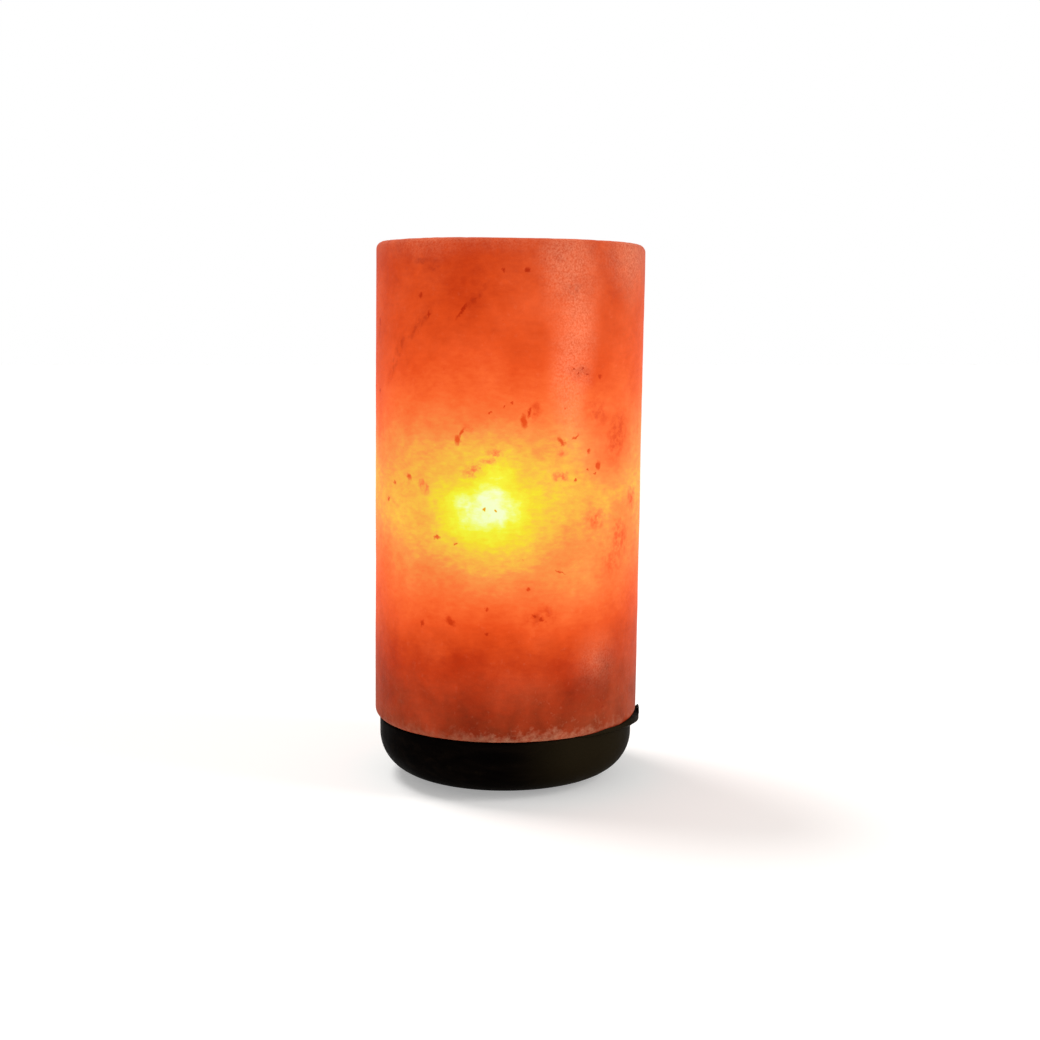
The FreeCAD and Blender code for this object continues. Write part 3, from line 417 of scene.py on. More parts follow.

        # the skin in the room's light: salmon salt with milky clouds, a pale crust and a painted sheen
        milk = add_node(
            tree,
            "ShaderNodeTexNoise",
            {"Vector": place, "Scale": 1 / self.cloud_mm, "Detail": 5.0, "Roughness": 0.6},
        ).outputs[0]
        body = add_node(
            tree,
            "ShaderNodeValToRGB",
            {0: milk},
            stops=[(0.32, linear("4E2814")), (0.5, linear("5C341C")), (0.7, linear("70442A"))],
        ).outputs[0]
        # one paler colour paints both the real crust along the seam and the painted sheen
        pale = add_node(
            tree,
            "ShaderNodeMath",
            {0: self.crust_mask(tree, place), 1: self.painted_sheen_mask(tree, warped, place)},
            operation="MAXIMUM",
        ).outputs[0]
        body = add_node(
            tree, "ShaderNodeMix", {0: pale, 6: body, 7: linear("BC9878")}, data_type="RGBA"
        ).outputs[2]
        body = add_node(
            tree, "ShaderNodeMix", {0: dark, 6: body, 7: linear("541C08")}, data_type="RGBA"
        ).outputs[2]
        tree.links.new(body, shader.inputs["Base Color"])
        tree.links.new(glow, shader.inputs["Emission Color"])
        shader.inputs["Emission Strength"].default_value = 1.0
        shader.inputs["IOR"].default_value = self.ior
        shader.inputs["Specular IOR Level"].default_value = self.gloss

        # washed salt is frosted: a sugary grain under a soft gloss
        frost = add_node(
            tree,
            "ShaderNodeTexNoise",
            {"Vector": place, "Scale": 1 / self.frost_mm, "Detail": 3.0, "Roughness": 0.7},
        ).outputs[0]
        rough = add_node(
            tree, "ShaderNodeMapRange", {0: frost, 1: 0.3, 2: 0.7, 3: 0.46, 4: 0.62}
        ).outputs[0]
        tree.links.new(rough, shader.inputs["Roughness"])
        dents = add_node(
            tree,
            "ShaderNodeTexNoise",
            {"Vector": place, "Scale": 1 / self.wisp_mm, "Detail": 4.0, "Roughness": 0.6},
        ).outputs[0]
        relief = add_node(
            tree,
            "ShaderNodeBump",
            {"Height": dents, "Distance": self.dent_relief * MM, "Strength": 0.5},
        ).outputs[0]
        relief = add_node(
            tree,
            "ShaderNodeBump",
            {"Height": frost, "Distance": self.frost_relief * MM, "Strength": 0.8, "Normal": relief},
        ).outputs[0]
        tree.links.new(relief, shader.inputs["Normal"])

    def warped(
        self, tree: bpy.types.NodeTree, place: bpy.types.NodeSocket, size: float, reach: float
    ) -> bpy.types.NodeSocket:
        """Shifts the place by a smooth noise, so that no edge drawn on it is regular.

        Args:
            tree: Node tree of the material.
            place: Place in millimetres.
            size: Width of the noise's waves in millimetres.
            reach: Most that a point is shifted, in millimetres.

        Returns:
            The shifted place in millimetres.
        """
        shift = add_node(
            tree,
            "ShaderNodeTexNoise",
            {"Vector": place, "Scale": 1 / size, "Detail": 3.0, "Roughness": 0.6},
        ).outputs[1]
        shift = add_node(
            tree, "ShaderNodeVectorMath", {0: shift, 1: (0.5, 0.5, 0.5)}, operation="SUBTRACT"
        ).outputs[0]
        shift = add_node(
            tree, "ShaderNodeVectorMath", {0: shift, "Scale": 2 * reach}, operation="SCALE"
        ).outputs[0]
        return add_node(tree, "ShaderNodeVectorMath", {0: place, 1: shift}, operation="ADD").outputs[0]

    def on_skin(self, azimuth: float, height: float) -> tuple[float, float, float]:
        """Gives the point of the cylinder at an azimuth and a height, in millimetres."""
        turn = math.radians(azimuth)
        return (self.radius * math.sin(turn), -self.radius * math.cos(turn), height)

    def soaked_light(
        self, tree: bpy.types.NodeTree, place: bpy.types.NodeSocket, warped: bpy.types.NodeSocket
    ) -> bpy.types.NodeSocket:
        """Works out how much of the bulb's light comes through, from 0, deep red, to 1, white.

        Args:
            tree: Node tree of the material.
            place: Place in millimetres.
            warped: The same place, shifted by the clouds in the salt.

        Returns:
            The level of light.
        """
        height = add_node(tree, "ShaderNodeSeparateXYZ", {0: warped}).outputs[2]
        share = add_node(
            tree, "ShaderNodeMapRange", {0: height, 1: self.seam, 2: self.top, 3: 0.0, 4: 1.0}
        ).outputs[0]
        band = add_node(tree, "ShaderNodeValToRGB", {0: share}, stops=greys(self.band)).outputs[0]
        # the nearest clear place decides
        lit = None
        near_place = add_node(
            tree,
            "ShaderNodeVectorMath",
            {0: self.warped(tree, place, self.lobe_mm, self.lobe_reach), 1: (1.0, 1.0, self.squash)},
            operation="MULTIPLY",
        ).outputs[0]
        for spot in self.spots:
            away = add_node(
                tree,
                "ShaderNodeVectorMath",
                {0: near_place, 1: Vector(self.on_skin(spot.azimuth, spot.height * self.squash))},
                operation="DISTANCE",
            ).outputs["Value"]
            near = add_node(
                tree,
                "ShaderNodeMapRange",
                {0: away, 1: spot.size * 0.6, 2: spot.size + spot.reach, 3: 0.0, 4: 1.0},
            ).outputs[0]
            shine = add_node(tree, "ShaderNodeValToRGB", {0: near}, stops=greys(self.fade)).outputs[0]
            shine = add_node(
                tree, "ShaderNodeMath", {0: shine, 1: spot.strength}, operation="MULTIPLY"
            ).outputs[0]
            if lit is None:
                lit = shine
            else:
                lit = add_node(
                    tree, "ShaderNodeMath", {0: lit, 1: shine}, operation="MAXIMUM"
                ).outputs[0]
        dim = add_node(tree, "ShaderNodeMath", {0: 1.0, 1: lit}, operation="SUBTRACT").outputs[0]
        unlit = add_node(tree, "ShaderNodeMath", {0: 1.0, 1: band}, operation="SUBTRACT").outputs[0]
        level = add_node(tree, "ShaderNodeMath", {0: dim, 1: unlit}, operation="MULTIPLY").outputs[0]
        level = add_node(tree, "ShaderNodeMath", {0: 1.0, 1: level}, operation="SUBTRACT").outputs[0]

        # thinner salt towards the bore lets more through
        flat = add_node(
            tree, "ShaderNodeVectorMath", {0: place, 1: (1.0, 1.0, 0.0)}, operation="MULTIPLY"
        ).outputs[0]
        depth = add_node(tree, "ShaderNodeVectorMath", {0: flat}, operation="LENGTH").outputs["Value"]
        inner = add_node(
            tree, "ShaderNodeMapRange", {0: depth, 1: 48.0, 2: 8.0, 3: 0.0, 4: 0.26}
        ).outputs[0]
        level = add_node(tree, "ShaderNodeMath", {0: level, 1: inner}, operation="ADD").outputs[0]

        # clouds and wisps in the salt break every contour up
        clouds = (self.cloud_mm, self.cloud_depth, 3.0)
        wisps = (self.wisp_mm, self.wisp_depth, 4.0)
        for size, swing, detail in (clouds, wisps):
            haze = add_node(
                tree,
                "ShaderNodeTexNoise",
                {"Vector": warped, "Scale": 1 / size, "Detail": detail, "Roughness": 0.6},
            ).outputs[0]
            haze = add_node(
                tree,
                "ShaderNodeMapRange",
                {0: haze, 1: 0.2, 2: 0.8, 3: -swing, 4: swing},
                clamp=False,
            ).outputs[0]
            level = add_node(tree, "ShaderNodeMath", {0: level, 1: haze}, operation="ADD").outputs[0]

        # the grain lies along the turning marks, and shows most where the salt is half lit
        along = add_node(
            tree, "ShaderNodeVectorMath", {0: place, 1: self.grain_stretch}, operation="MULTIPLY"
        ).outputs[0]
        grain = add_node(
            tree,
            "ShaderNodeTexNoise",
            {"Vector": along, "Scale": 1 / self.grain_mm, "Detail": 2.0, "Roughness": 0.6},
        ).outputs[0]
        grain = add_node(
            tree,
            "ShaderNodeMapRange",
            {0: grain, 1: 0.2, 2: 0.8, 3: -self.grain_depth, 4: self.grain_depth},
            clamp=False,
        ).outputs[0]
        shown = add_node(
            tree, "ShaderNodeValToRGB", {0: level}, stops=greys(self.grain_shown)
        ).outputs[0]
        return add_node(
            tree, "ShaderNodeMath", {0: grain, 1: shown, 2: level}, operation="MULTIPLY_ADD"
        ).outputs[0]

    def nearest(
        self, tree: bpy.types.NodeTree, place: bpy.types.NodeSocket, group: tuple[Inclusion, ...]
    ) -> bpy.types.NodeSocket:
        """Measures how far a place is from the nearest inclusion of a group. Its edge is at 1.

        Args:
            tree: Node tree of the material.
            place: Place in millimetres.
            group: The inclusions.

        Returns:
            The distance.
        """
        least = None
        for item in group:
            local = add_node(
                tree,
                "ShaderNodeMapping",
                {
                    "Vector": place,
                    "Location": self.on_skin(item.azimuth, item.height),
                    "Rotation": (0.0, math.radians(item.tilt), math.radians(item.azimuth)),
                    "Scale": (item.across, max(4.0, item.across), item.tall),
                },
                vector_type="TEXTURE",
            ).outputs[0]
            away = add_node(
                tree, "ShaderNodeVectorMath", {0: local}, operation="LENGTH"
            ).outputs["Value"]
            if item.faint:
                away = add_node(
                    tree, "ShaderNodeMath", {0: away, 1: item.faint}, operation="ADD"
                ).outputs[0]
            if least is None:
                least = away
            else:
                least = add_node(
                    tree, "ShaderNodeMath", {0: least, 1: away}, operation="MINIMUM"
                ).outputs[0]
        return least

    def clot_mask(self, tree: bpy.types.NodeTree, ragged: bpy.types.NodeSocket) -> bpy.types.NodeSocket:
        """Gives 1 inside a clot and 0 outside, with a soft ragged edge.

        Args:
            tree: Node tree of the material.
            ragged: Shifted place in millimetres.

        Returns:
            The mask.
        """
        away = self.nearest(tree, ragged, self.clots)
        return add_node(
            tree, "ShaderNodeMapRange", {0: away, 1: 1.35, 2: 0.6, 3: 0.0, 4: 0.85}
        ).outputs[0]

    def patch_mask(
        self, tree: bpy.types.NodeTree, ragged: bpy.types.NodeSocket, place: bpy.types.NodeSocket
    ) -> bpy.types.NodeSocket:
        """Gives a broken mask of crumbs inside the patches.

        Args:
            tree: Node tree of the material.
            ragged: Shifted place in millimetres.
            place: Place in millimetres.

        Returns:
            The mask.
        """
        away = self.nearest(tree, ragged, self.patches)
        soft = add_node(
            tree, "ShaderNodeMapRange", {0: away, 1: 1.3, 2: 0.3, 3: 0.0, 4: 1.0}
        ).outputs[0]
        crumbs = add_node(
            tree,
            "ShaderNodeTexNoise",
            {"Vector": place, "Scale": 1 / (1.7 * self.crumb_mm), "Detail": 3.0, "Roughness": 0.65},
        ).outputs[0]
        crumbs = add_node(
            tree, "ShaderNodeMapRange", {0: crumbs, 1: 0.42, 2: 0.6, 3: 0.2, 4: 1.0}
        ).outputs[0]
        return add_node(tree, "ShaderNodeMath", {0: soft, 1: crumbs}, operation="MULTIPLY").outputs[0]

    def veil_mask(self, tree: bpy.types.NodeTree, warped: bpy.types.NodeSocket) -> bpy.types.NodeSocket:
        """Gives 1 in the middle of a veil, and fades to 0 past its edge.

        Args:
            tree: Node tree of the material.
            warped: Shifted place in millimetres.

        Returns:
            The mask.
        """
        away = self.nearest(tree, warped, self.veils)
        return add_node(
            tree, "ShaderNodeMapRange", {0: away, 1: 1.5, 2: 0.2}, interpolation_type="SMOOTHSTEP"
        ).outputs[0]

    def painted_sheen_mask(
        self, tree: bpy.types.NodeTree, warped: bpy.types.NodeSocket, place: bpy.types.NodeSocket
    ) -> bpy.types.NodeSocket:
        """Gives the painted sheen: paler places that stand in for reflected light, with tiny painted
        glints.

        Args:
            tree: Node tree of the material.
            warped: Shifted place in millimetres.
            place: Place in millimetres.

        Returns:
            The mask.
        """
        away = self.nearest(tree, warped, self.painted_sheen_zones)
        soft = add_node(
            tree,
            "ShaderNodeMapRange",
            {0: away, 1: 1.45, 2: 0.1, 3: 0.0, 4: 0.38},
            interpolation_type="SMOOTHSTEP",
        ).outputs[0]
        # painted glints: the painted sheen is broken into tiny bright grains, as light would sparkle on
        # the frosted skin
        painted_glints = add_node(
            tree,
            "ShaderNodeTexNoise",
            {"Vector": place, "Scale": 1 / self.frost_mm, "Detail": 2.0, "Roughness": 0.7},
        ).outputs[0]
        painted_glints = add_node(
            tree, "ShaderNodeMapRange", {0: painted_glints, 1: 0.32, 2: 0.68, 3: 0.3, 4: 1.6}
        ).outputs[0]
        return add_node(tree, "ShaderNodeMath", {0: soft, 1: painted_glints}, operation="MULTIPLY").outputs[0]

    def fleck_mask(
        self, tree: bpy.types.NodeTree, ragged: bpy.types.NodeSocket
    ) -> bpy.types.NodeSocket:
        """Gives small flecks strewn through the whole block, at most one in each cell.

        Args:
            tree: Node tree of the material.
            ragged: Shifted place in millimetres.

        Returns:
            The mask.
        """
        cells = add_node(
            tree, "ShaderNodeTexVoronoi", {"Vector": ragged, "Scale": 1 / self.fleck_cell_mm}
        )
        pick = add_node(tree, "ShaderNodeSeparateColor", {0: cells.outputs["Color"]}).outputs[0]
        size = add_node(
            tree, "ShaderNodeMapRange", {0: pick, 1: 0.55, 2: 1.0, 3: -0.05, 4: 0.09}
        ).outputs[0]
        depth = add_node(
            tree, "ShaderNodeMath", {0: size, 1: cells.outputs["Distance"]}, operation="SUBTRACT"
        ).outputs[0]
        return add_node(
            tree, "ShaderNodeMapRange", {0: depth, 1: 0.0, 2: 0.05, 3: 0.0, 4: 0.6}
        ).outputs[0]

    def crust_mask(self, tree: bpy.types.NodeTree, place: bpy.types.NodeSocket) -> bpy.types.NodeSocket:
        """Gives the pale, chipped salt along the seam, strongest right of the front.

        Args:
            tree: Node tree of the material.
            place: Place in millimetres.

        Returns:
            The mask.
        """
        height = add_node(tree, "ShaderNodeSeparateXYZ", {0: place}).outputs[2]
        low = add_node(
            tree, "ShaderNodeMapRange", {0: height, 1: 30.0, 2: 23.0, 3: 0.0, 4: 1.0}
        ).outputs[0]
        low = add_node(tree, "ShaderNodeMath", {0: low, 1: 1.6}, operation="POWER").outputs[0]
        chips = add_node(
            tree,
            "ShaderNodeTexNoise",
            {"Vector": place, "Scale": 1 / self.chip_mm, "Detail": 4.0, "Roughness": 0.65},
        ).outputs[0]
        chips = add_node(
            tree, "ShaderNodeMapRange", {0: chips, 1: 0.3, 2: 0.7, 3: 0.0, 4: 1.0}
        ).outputs[0]
        away = add_node(
            tree,
            "ShaderNodeVectorMath",
            {0: place, 1: self.on_skin(14.0, 24.0)},
            operation="DISTANCE",
        ).outputs["Value"]
        side = add_node(
            tree, "ShaderNodeMapRange", {0: away, 1: 36.0, 2: 12.0, 3: 0.3, 4: 0.9}
        ).outputs[0]
        # all of the salt is pale at the seam itself, and only its highest grains further up
        mask = add_node(tree, "ShaderNodeMath", {0: low, 1: chips}, operation="ADD").outputs[0]
        mask = add_node(
            tree, "ShaderNodeMapRange", {0: mask, 1: 0.75, 2: 1.6, 3: 0.0, 4: 0.7}
        ).outputs[0]
        return add_node(tree, "ShaderNodeMath", {0: mask, 1: side}, operation="MULTIPLY").outputs[0]


@dataclass(frozen=True)
class StainedHardwood(Finish):
    """Dense hardwood, face-turned, stained nearly black and rubbed with wax.

    Long dark grain runs straight across the disc, its pores are filled, and the wax has dull rubbed
    spots and a painted sheen, paler on the side towards the window. Lengths are in millimetres.
    """

    title: ClassVar[str] = "black-stained turned hardwood"
    ring_mm: float = 3.2
    pore_mm: float = 0.45
    pore_relief: float = 0.07
    scuff_mm: float = 9.0
    turning_relief: float = 0.05
    # very low, because the wax is dull and the white room would turn black wood grey
    gloss: float = 0.003
    # centre of the painted sheen, on the side of the rim towards the window
    painted_sheen_centre: tuple[float, float, float] = (33.0, -34.0, 17.0)

    def dress(
        self, tree: bpy.types.NodeTree, shader: bpy.types.Node, place: bpy.types.NodeSocket
    ) -> None:
        """Adds grain, pores, rubbed spots, a painted sheen on the window's side and turning marks.

        Args:
            tree: Node tree of the material.
            shader: Its Principled shader.
            place: Object coordinates in millimetres.
        """
        along = add_node(
            tree,
            "ShaderNodeMapping",
            {"Vector": place, "Scale": (0.12, 1.0, 1.0), "Rotation": (0.0, 0.0, 0.35)},
        ).outputs[0]
        rings = add_node(
            tree,
            "ShaderNodeTexNoise",
            {
                "Vector": along,
                "Scale": 1 / self.ring_mm,
                "Detail": 4.0,
                "Roughness": 0.6,
                "Distortion": 0.6,
            },
        ).outputs[0]
        pores = add_node(
            tree, "ShaderNodeTexNoise", {"Vector": along, "Scale": 1 / self.pore_mm, "Detail": 2.0}
        ).outputs[0]
        rubbed = add_node(
            tree,
            "ShaderNodeTexNoise",
            {"Vector": place, "Scale": 1 / self.scuff_mm, "Detail": 5.0, "Roughness": 0.7},
        ).outputs[0]
        colour = add_node(
            tree,
            "ShaderNodeValToRGB",
            {0: rings},
            stops=[(0.3, linear("030202")), (0.52, linear("080504")), (0.75, linear("120C08"))],
        ).outputs[0]
        # painted sheen: the rim is painted paler towards the window, standing in for its light on the
        # wax
        away = add_node(
            tree, "ShaderNodeVectorMath", {0: place, 1: self.painted_sheen_centre}, operation="DISTANCE"
        ).outputs["Value"]
        painted_wax_sheen = add_node(
            tree, "ShaderNodeMapRange", {0: away, 1: 38.0, 2: 9.0}, interpolation_type="SMOOTHSTEP"
        ).outputs[0]
        worn = add_node(
            tree, "ShaderNodeMapRange", {0: rubbed, 1: 0.6, 2: 0.78, 3: 0.0, 4: 0.5}
        ).outputs[0]
        # the real scuffs and the painted sheen take the same paler colour
        worn = add_node(tree, "ShaderNodeMath", {0: worn, 1: painted_wax_sheen}, operation="MAXIMUM").outputs[0]
        colour = add_node(
            tree, "ShaderNodeMix", {0: worn, 6: colour, 7: linear("221C11")}, data_type="RGBA"
        ).outputs[2]
        tree.links.new(colour, shader.inputs["Base Color"])
        rough = add_node(
            tree, "ShaderNodeMapRange", {0: rubbed, 1: 0.3, 2: 0.75, 3: 0.36, 4: 0.6}
        ).outputs[0]
        tree.links.new(rough, shader.inputs["Roughness"])
        shader.inputs["Specular IOR Level"].default_value = self.gloss
        turned = add_node(
            tree,
            "ShaderNodeTexWave",
            {"Vector": place, "Scale": 0.55, "Distortion": 0.8, "Detail": 2.0},
            bands_direction="Z",
        ).outputs[0]
        relief = add_node(
            tree,
            "ShaderNodeBump",
            {"Height": pores, "Distance": self.pore_relief * MM, "Strength": 0.6},
        ).outputs[0]
        relief = add_node(
            tree,
            "ShaderNodeBump",
            {
                "Height": turned,
                "Distance": self.turning_relief * MM,
                "Strength": 0.25,
                "Normal": relief,
            },
        ).outputs[0]
        tree.links.new(relief, shader.inputs["Normal"])


@dataclass(frozen=True)
class Moulding(Finish):
    """Plastic or rubber pressed in a polished or blasted mould: an even colour with a faint skin."""

    colour: str = "141210"
    fleck: str = "1C1917"
    rough: tuple[float, float] = (0.2, 0.34)
    cloud_mm: float = 6.0
    skin_mm: float = 0.9
    skin_depth: float = 0.02
    sheen: float = 0.5

    def dress(
        self, tree: bpy.types.NodeTree, shader: bpy.types.Node, place: bpy.types.NodeSocket
    ) -> None:
        """Adds a faintly clouded colour and the skin of the mould.

        Args:
            tree: Node tree of the material.
            shader: Its Principled shader.
            place: Object coordinates in millimetres.
        """
        cloud = add_node(
            tree,
            "ShaderNodeTexNoise",
            {"Vector": place, "Scale": 1 / self.cloud_mm, "Detail": 4.0, "Distortion": 0.8},
        ).outputs[0]
        colour = add_node(
            tree,
            "ShaderNodeValToRGB",
            {0: cloud},
            stops=[(0.35, linear(self.colour)), (0.7, linear(self.fleck))],
        ).outputs[0]
        tree.links.new(colour, shader.inputs["Base Color"])
        skin = add_node(
            tree, "ShaderNodeTexNoise", {"Vector": place, "Scale": 1 / self.skin_mm, "Detail": 3.0}
        ).outputs[0]
        rough = add_node(
            tree, "ShaderNodeMapRange", {0: skin, 1: 0.3, 2: 0.7, 3: self.rough[0], 4: self.rough[1]}
        ).outputs[0]
        tree.links.new(rough, shader.inputs["Roughness"])
        shader.inputs["Specular IOR Level"].default_value = self.sheen
        relief = add_node(
            tree, "ShaderNodeBump", {"Height": skin, "Distance": self.skin_depth * MM, "Strength": 0.5}
        ).outputs[0]
        tree.links.new(relief, shader.inputs["Normal"])


@dataclass(frozen=True)
class Phenolic(Moulding):
    """Black phenolic resin, pressed hot in a polished mould: deep gloss with faint brown swirls."""

    title: ClassVar[str] = "pressed black phenolic"
    colour: str = "0F0D0C"
    fleck: str = "1D1713"
    rough: tuple[float, float] = (0.16, 0.28)
    skin_mm: float = 1.6
    skin_depth: float = 0.03


@dataclass(frozen=True)
class Steatite(Moulding):
    """White steatite, pressed dry and fired without a glaze: chalky, with a fine tooth."""

    title: ClassVar[str] = "fired white steatite"
    colour: str = "E6E1D3"
    fleck: str = "D8D1BF"
    rough: tuple[float, float] = (0.55, 0.7)
    skin_mm: float = 0.4
    skin_depth: float = 0.04


@dataclass(frozen=True)
class Nylon(Moulding):
    """Natural nylon, injection moulded: milky and waxy."""

    title: ClassVar[str] = "natural moulded nylon"
    colour: str = "DAD8CE"
    fleck: str = "CFCDC2"
    rough: tuple[float, float] = (0.38, 0.5)
    skin_mm: float = 0.6


@dataclass(frozen=True)
class Rubber(Moulding):
    """Black rubber, moulded and bloomed: dull, with a greyish dust."""

    title: ClassVar[str] = "moulded black rubber"
    colour: str = "161616"
    fleck: str = "262524"
    rough: tuple[float, float] = (0.62, 0.82)
    skin_mm: float = 0.35
    skin_depth: float = 0.05
    sheen: float = 0.35


@dataclass(frozen=True)
class CapGlass(Moulding):
    """Black lead glass, poured into the foot of a bulb's cap: fire-polished and mirror smooth."""

    title: ClassVar[str] = "fire-polished black glass"
    colour: str = "07070A"
    fleck: str = "0E0E14"
    rough: tuple[float, float] = (0.04, 0.1)
    skin_mm: float = 2.0


@dataclass(frozen=True)
class Metal(Finish):
    """Rolled, drawn or plated metal: streaks along its working, a few stains, a satin gloss."""

    colour: str = "B9B7B2"
    stain: str = "9C9994"
    rough: tuple[float, float] = (0.2, 0.34)
    streak_mm: tuple[float, float, float] = (6.0, 6.0, 0.35)
    stain_mm: float = 5.0
    depth: float = 0.01

    def dress(
        self, tree: bpy.types.NodeTree, shader: bpy.types.Node, place: bpy.types.NodeSocket
    ) -> None:
        """Adds streaks and stains.

        Args:
            tree: Node tree of the material.
            shader: Its Principled shader.
            place: Object coordinates in millimetres.
        """
        along = add_node(
            tree,
            "ShaderNodeVectorMath",
            {0: place, 1: tuple(1 / size for size in self.streak_mm)},
            operation="MULTIPLY",
        ).outputs[0]
        streaks = add_node(
            tree, "ShaderNodeTexNoise", {"Vector": along, "Scale": 1.0, "Detail": 3.0}
        ).outputs[0]
        stains = add_node(
            tree,
            "ShaderNodeTexNoise",
            {"Vector": place, "Scale": 1 / self.stain_mm, "Detail": 5.0, "Roughness": 0.65},
        ).outputs[0]
        colour = add_node(
            tree,
            "ShaderNodeValToRGB",
            {0: stains},
            stops=[(0.42, linear(self.colour)), (0.72, linear(self.stain))],
        ).outputs[0]
        tree.links.new(colour, shader.inputs["Base Color"])
        shader.inputs["Metallic"].default_value = 1.0
        blend = add_node(tree, "ShaderNodeMath", {0: streaks, 1: stains}, operation="ADD").outputs[0]
        rough = add_node(
            tree, "ShaderNodeMapRange", {0: blend, 1: 0.7, 2: 1.3, 3: self.rough[0], 4: self.rough[1]}
        ).outputs[0]
        tree.links.new(rough, shader.inputs["Roughness"])
        relief = add_node(
            tree, "ShaderNodeBump", {"Height": streaks, "Distance": self.depth * MM, "Strength": 0.5}
        ).outputs[0]
        tree.links.new(relief, shader.inputs["Normal"])


@dataclass(frozen=True)
class RolledBrass(Metal):
    """Brass sheet, deep drawn and thread rolled: warm yellow, a little tarnished in its hollows."""

    title: ClassVar[str] = "thread-rolled brass sheet"
    colour: str = "D9B36A"
    stain: str = "B98C4A"
    rough: tuple[float, float] = (0.18, 0.34)


@dataclass(frozen=True)
class ZincSteel(Metal):
    """Steel with a blue-white zinc plating: bright, with faint clouds from the bath."""

    title: ClassVar[str] = "zinc-plated steel"
    colour: str = "C2C5C9"
    stain: str = "A9ABA9"
    rough: tuple[float, float] = (0.22, 0.38)


@dataclass(frozen=True)
class SpringSteel(Metal):
    """Cold-rolled spring strip, hardened and oiled: grey, with lines along the strip."""

    title: ClassVar[str] = "cold-rolled spring steel"
    colour: str = "8E9092"
    stain: str = "6E6A66"
    rough: tuple[float, float] = (0.24, 0.42)
    streak_mm: tuple[float, float, float] = (9.0, 0.25, 9.0)


@dataclass(frozen=True)
class Solder(Metal):
    """Tin solder, left as it froze: dull silver with soft wrinkles."""

    title: ClassVar[str] = "frozen tin solder"
    colour: str = "A6A7AB"
    stain: str = "8B8C90"
    rough: tuple[float, float] = (0.3, 0.5)
    streak_mm: tuple[float, float, float] = (0.9, 0.9, 0.9)
    depth: float = 0.05


@dataclass(frozen=True)
class NickelWire(Metal):
    """Nickel-plated wire, hard drawn: clean and bright with lines along it."""

    title: ClassVar[str] = "drawn nickel-plated wire"
    colour: str = "C9C2B6"
    stain: str = "B0A89A"
    rough: tuple[float, float] = (0.16, 0.28)
    streak_mm: tuple[float, float, float] = (0.2, 0.2, 4.0)
    depth: float = 0.004


@dataclass(frozen=True)
class GlowingTungsten(Finish):
    """Tungsten wire, wound into a coil and glowing: bright orange-white, cooler near its ends."""

    title: ClassVar[str] = "glowing tungsten coil"
    reach: float = 6.4
    brightness: float = 1.5

    def dress(
        self, tree: bpy.types.NodeTree, shader: bpy.types.Node, place: bpy.types.NodeSocket
    ) -> None:
        """Adds the heat along the coil.

        Args:
            tree: Node tree of the material.
            shader: Its Principled shader.
            place: Object coordinates in millimetres.
        """
        across = add_node(tree, "ShaderNodeSeparateXYZ", {0: place}).outputs[0]
        across = add_node(tree, "ShaderNodeMath", {0: across}, operation="ABSOLUTE").outputs[0]
        share = add_node(
            tree, "ShaderNodeMapRange", {0: across, 1: 0.0, 2: self.reach, 3: 0.0, 4: 1.0}
        ).outputs[0]
        heat = add_node(
            tree,
            "ShaderNodeValToRGB",
            {0: share},
            stops=[(0.0, linear("FFC45E")), (0.75, linear("FF9A30")), (1.0, linear("A03408"))],
        ).outputs[0]
        shader.inputs["Metallic"].default_value = 1.0
        shader.inputs["Roughness"].default_value = 0.45
        tree.links.new(heat, shader.inputs["Base Color"])
        tree.links.new(heat, shader.inputs["Emission Color"])
        shader.inputs["Emission Strength"].default_value = self.brightness


@dataclass(frozen=True)
class BlownGlass(Finish):
    """Clear soda-lime glass, machine blown: thin, with slow waves that bend what is behind it."""

    title: ClassVar[str] = "blown clear glass"
    wave_mm: float = 7.0
    wave_relief: float = 0.12
    ior: float = 1.52

    def dress(
        self, tree: bpy.types.NodeTree, shader: bpy.types.Node, place: bpy.types.NodeSocket
    ) -> None:
        """Adds clearness and the slow waves of the blown wall.

        Args:
            tree: Node tree of the material.
            shader: Its Principled shader.
            place: Object coordinates in millimetres.
        """
        shader.inputs["Base Color"].default_value = linear("F8FBFA")
        shader.inputs["Transmission Weight"].default_value = 1.0
        shader.inputs["IOR"].default_value = self.ior
        wave = add_node(
            tree, "ShaderNodeTexNoise", {"Vector": place, "Scale": 1 / self.wave_mm, "Detail": 1.0}
        ).outputs[0]
        rough = add_node(
            tree, "ShaderNodeMapRange", {0: wave, 1: 0.3, 2: 0.7, 3: 0.0, 4: 0.03}
        ).outputs[0]
        tree.links.new(rough, shader.inputs["Roughness"])
        relief = add_node(
            tree, "ShaderNodeBump", {"Height": wave, "Distance": self.wave_relief * MM, "Strength": 0.3}
        ).outputs[0]
        tree.links.new(relief, shader.inputs["Normal"])


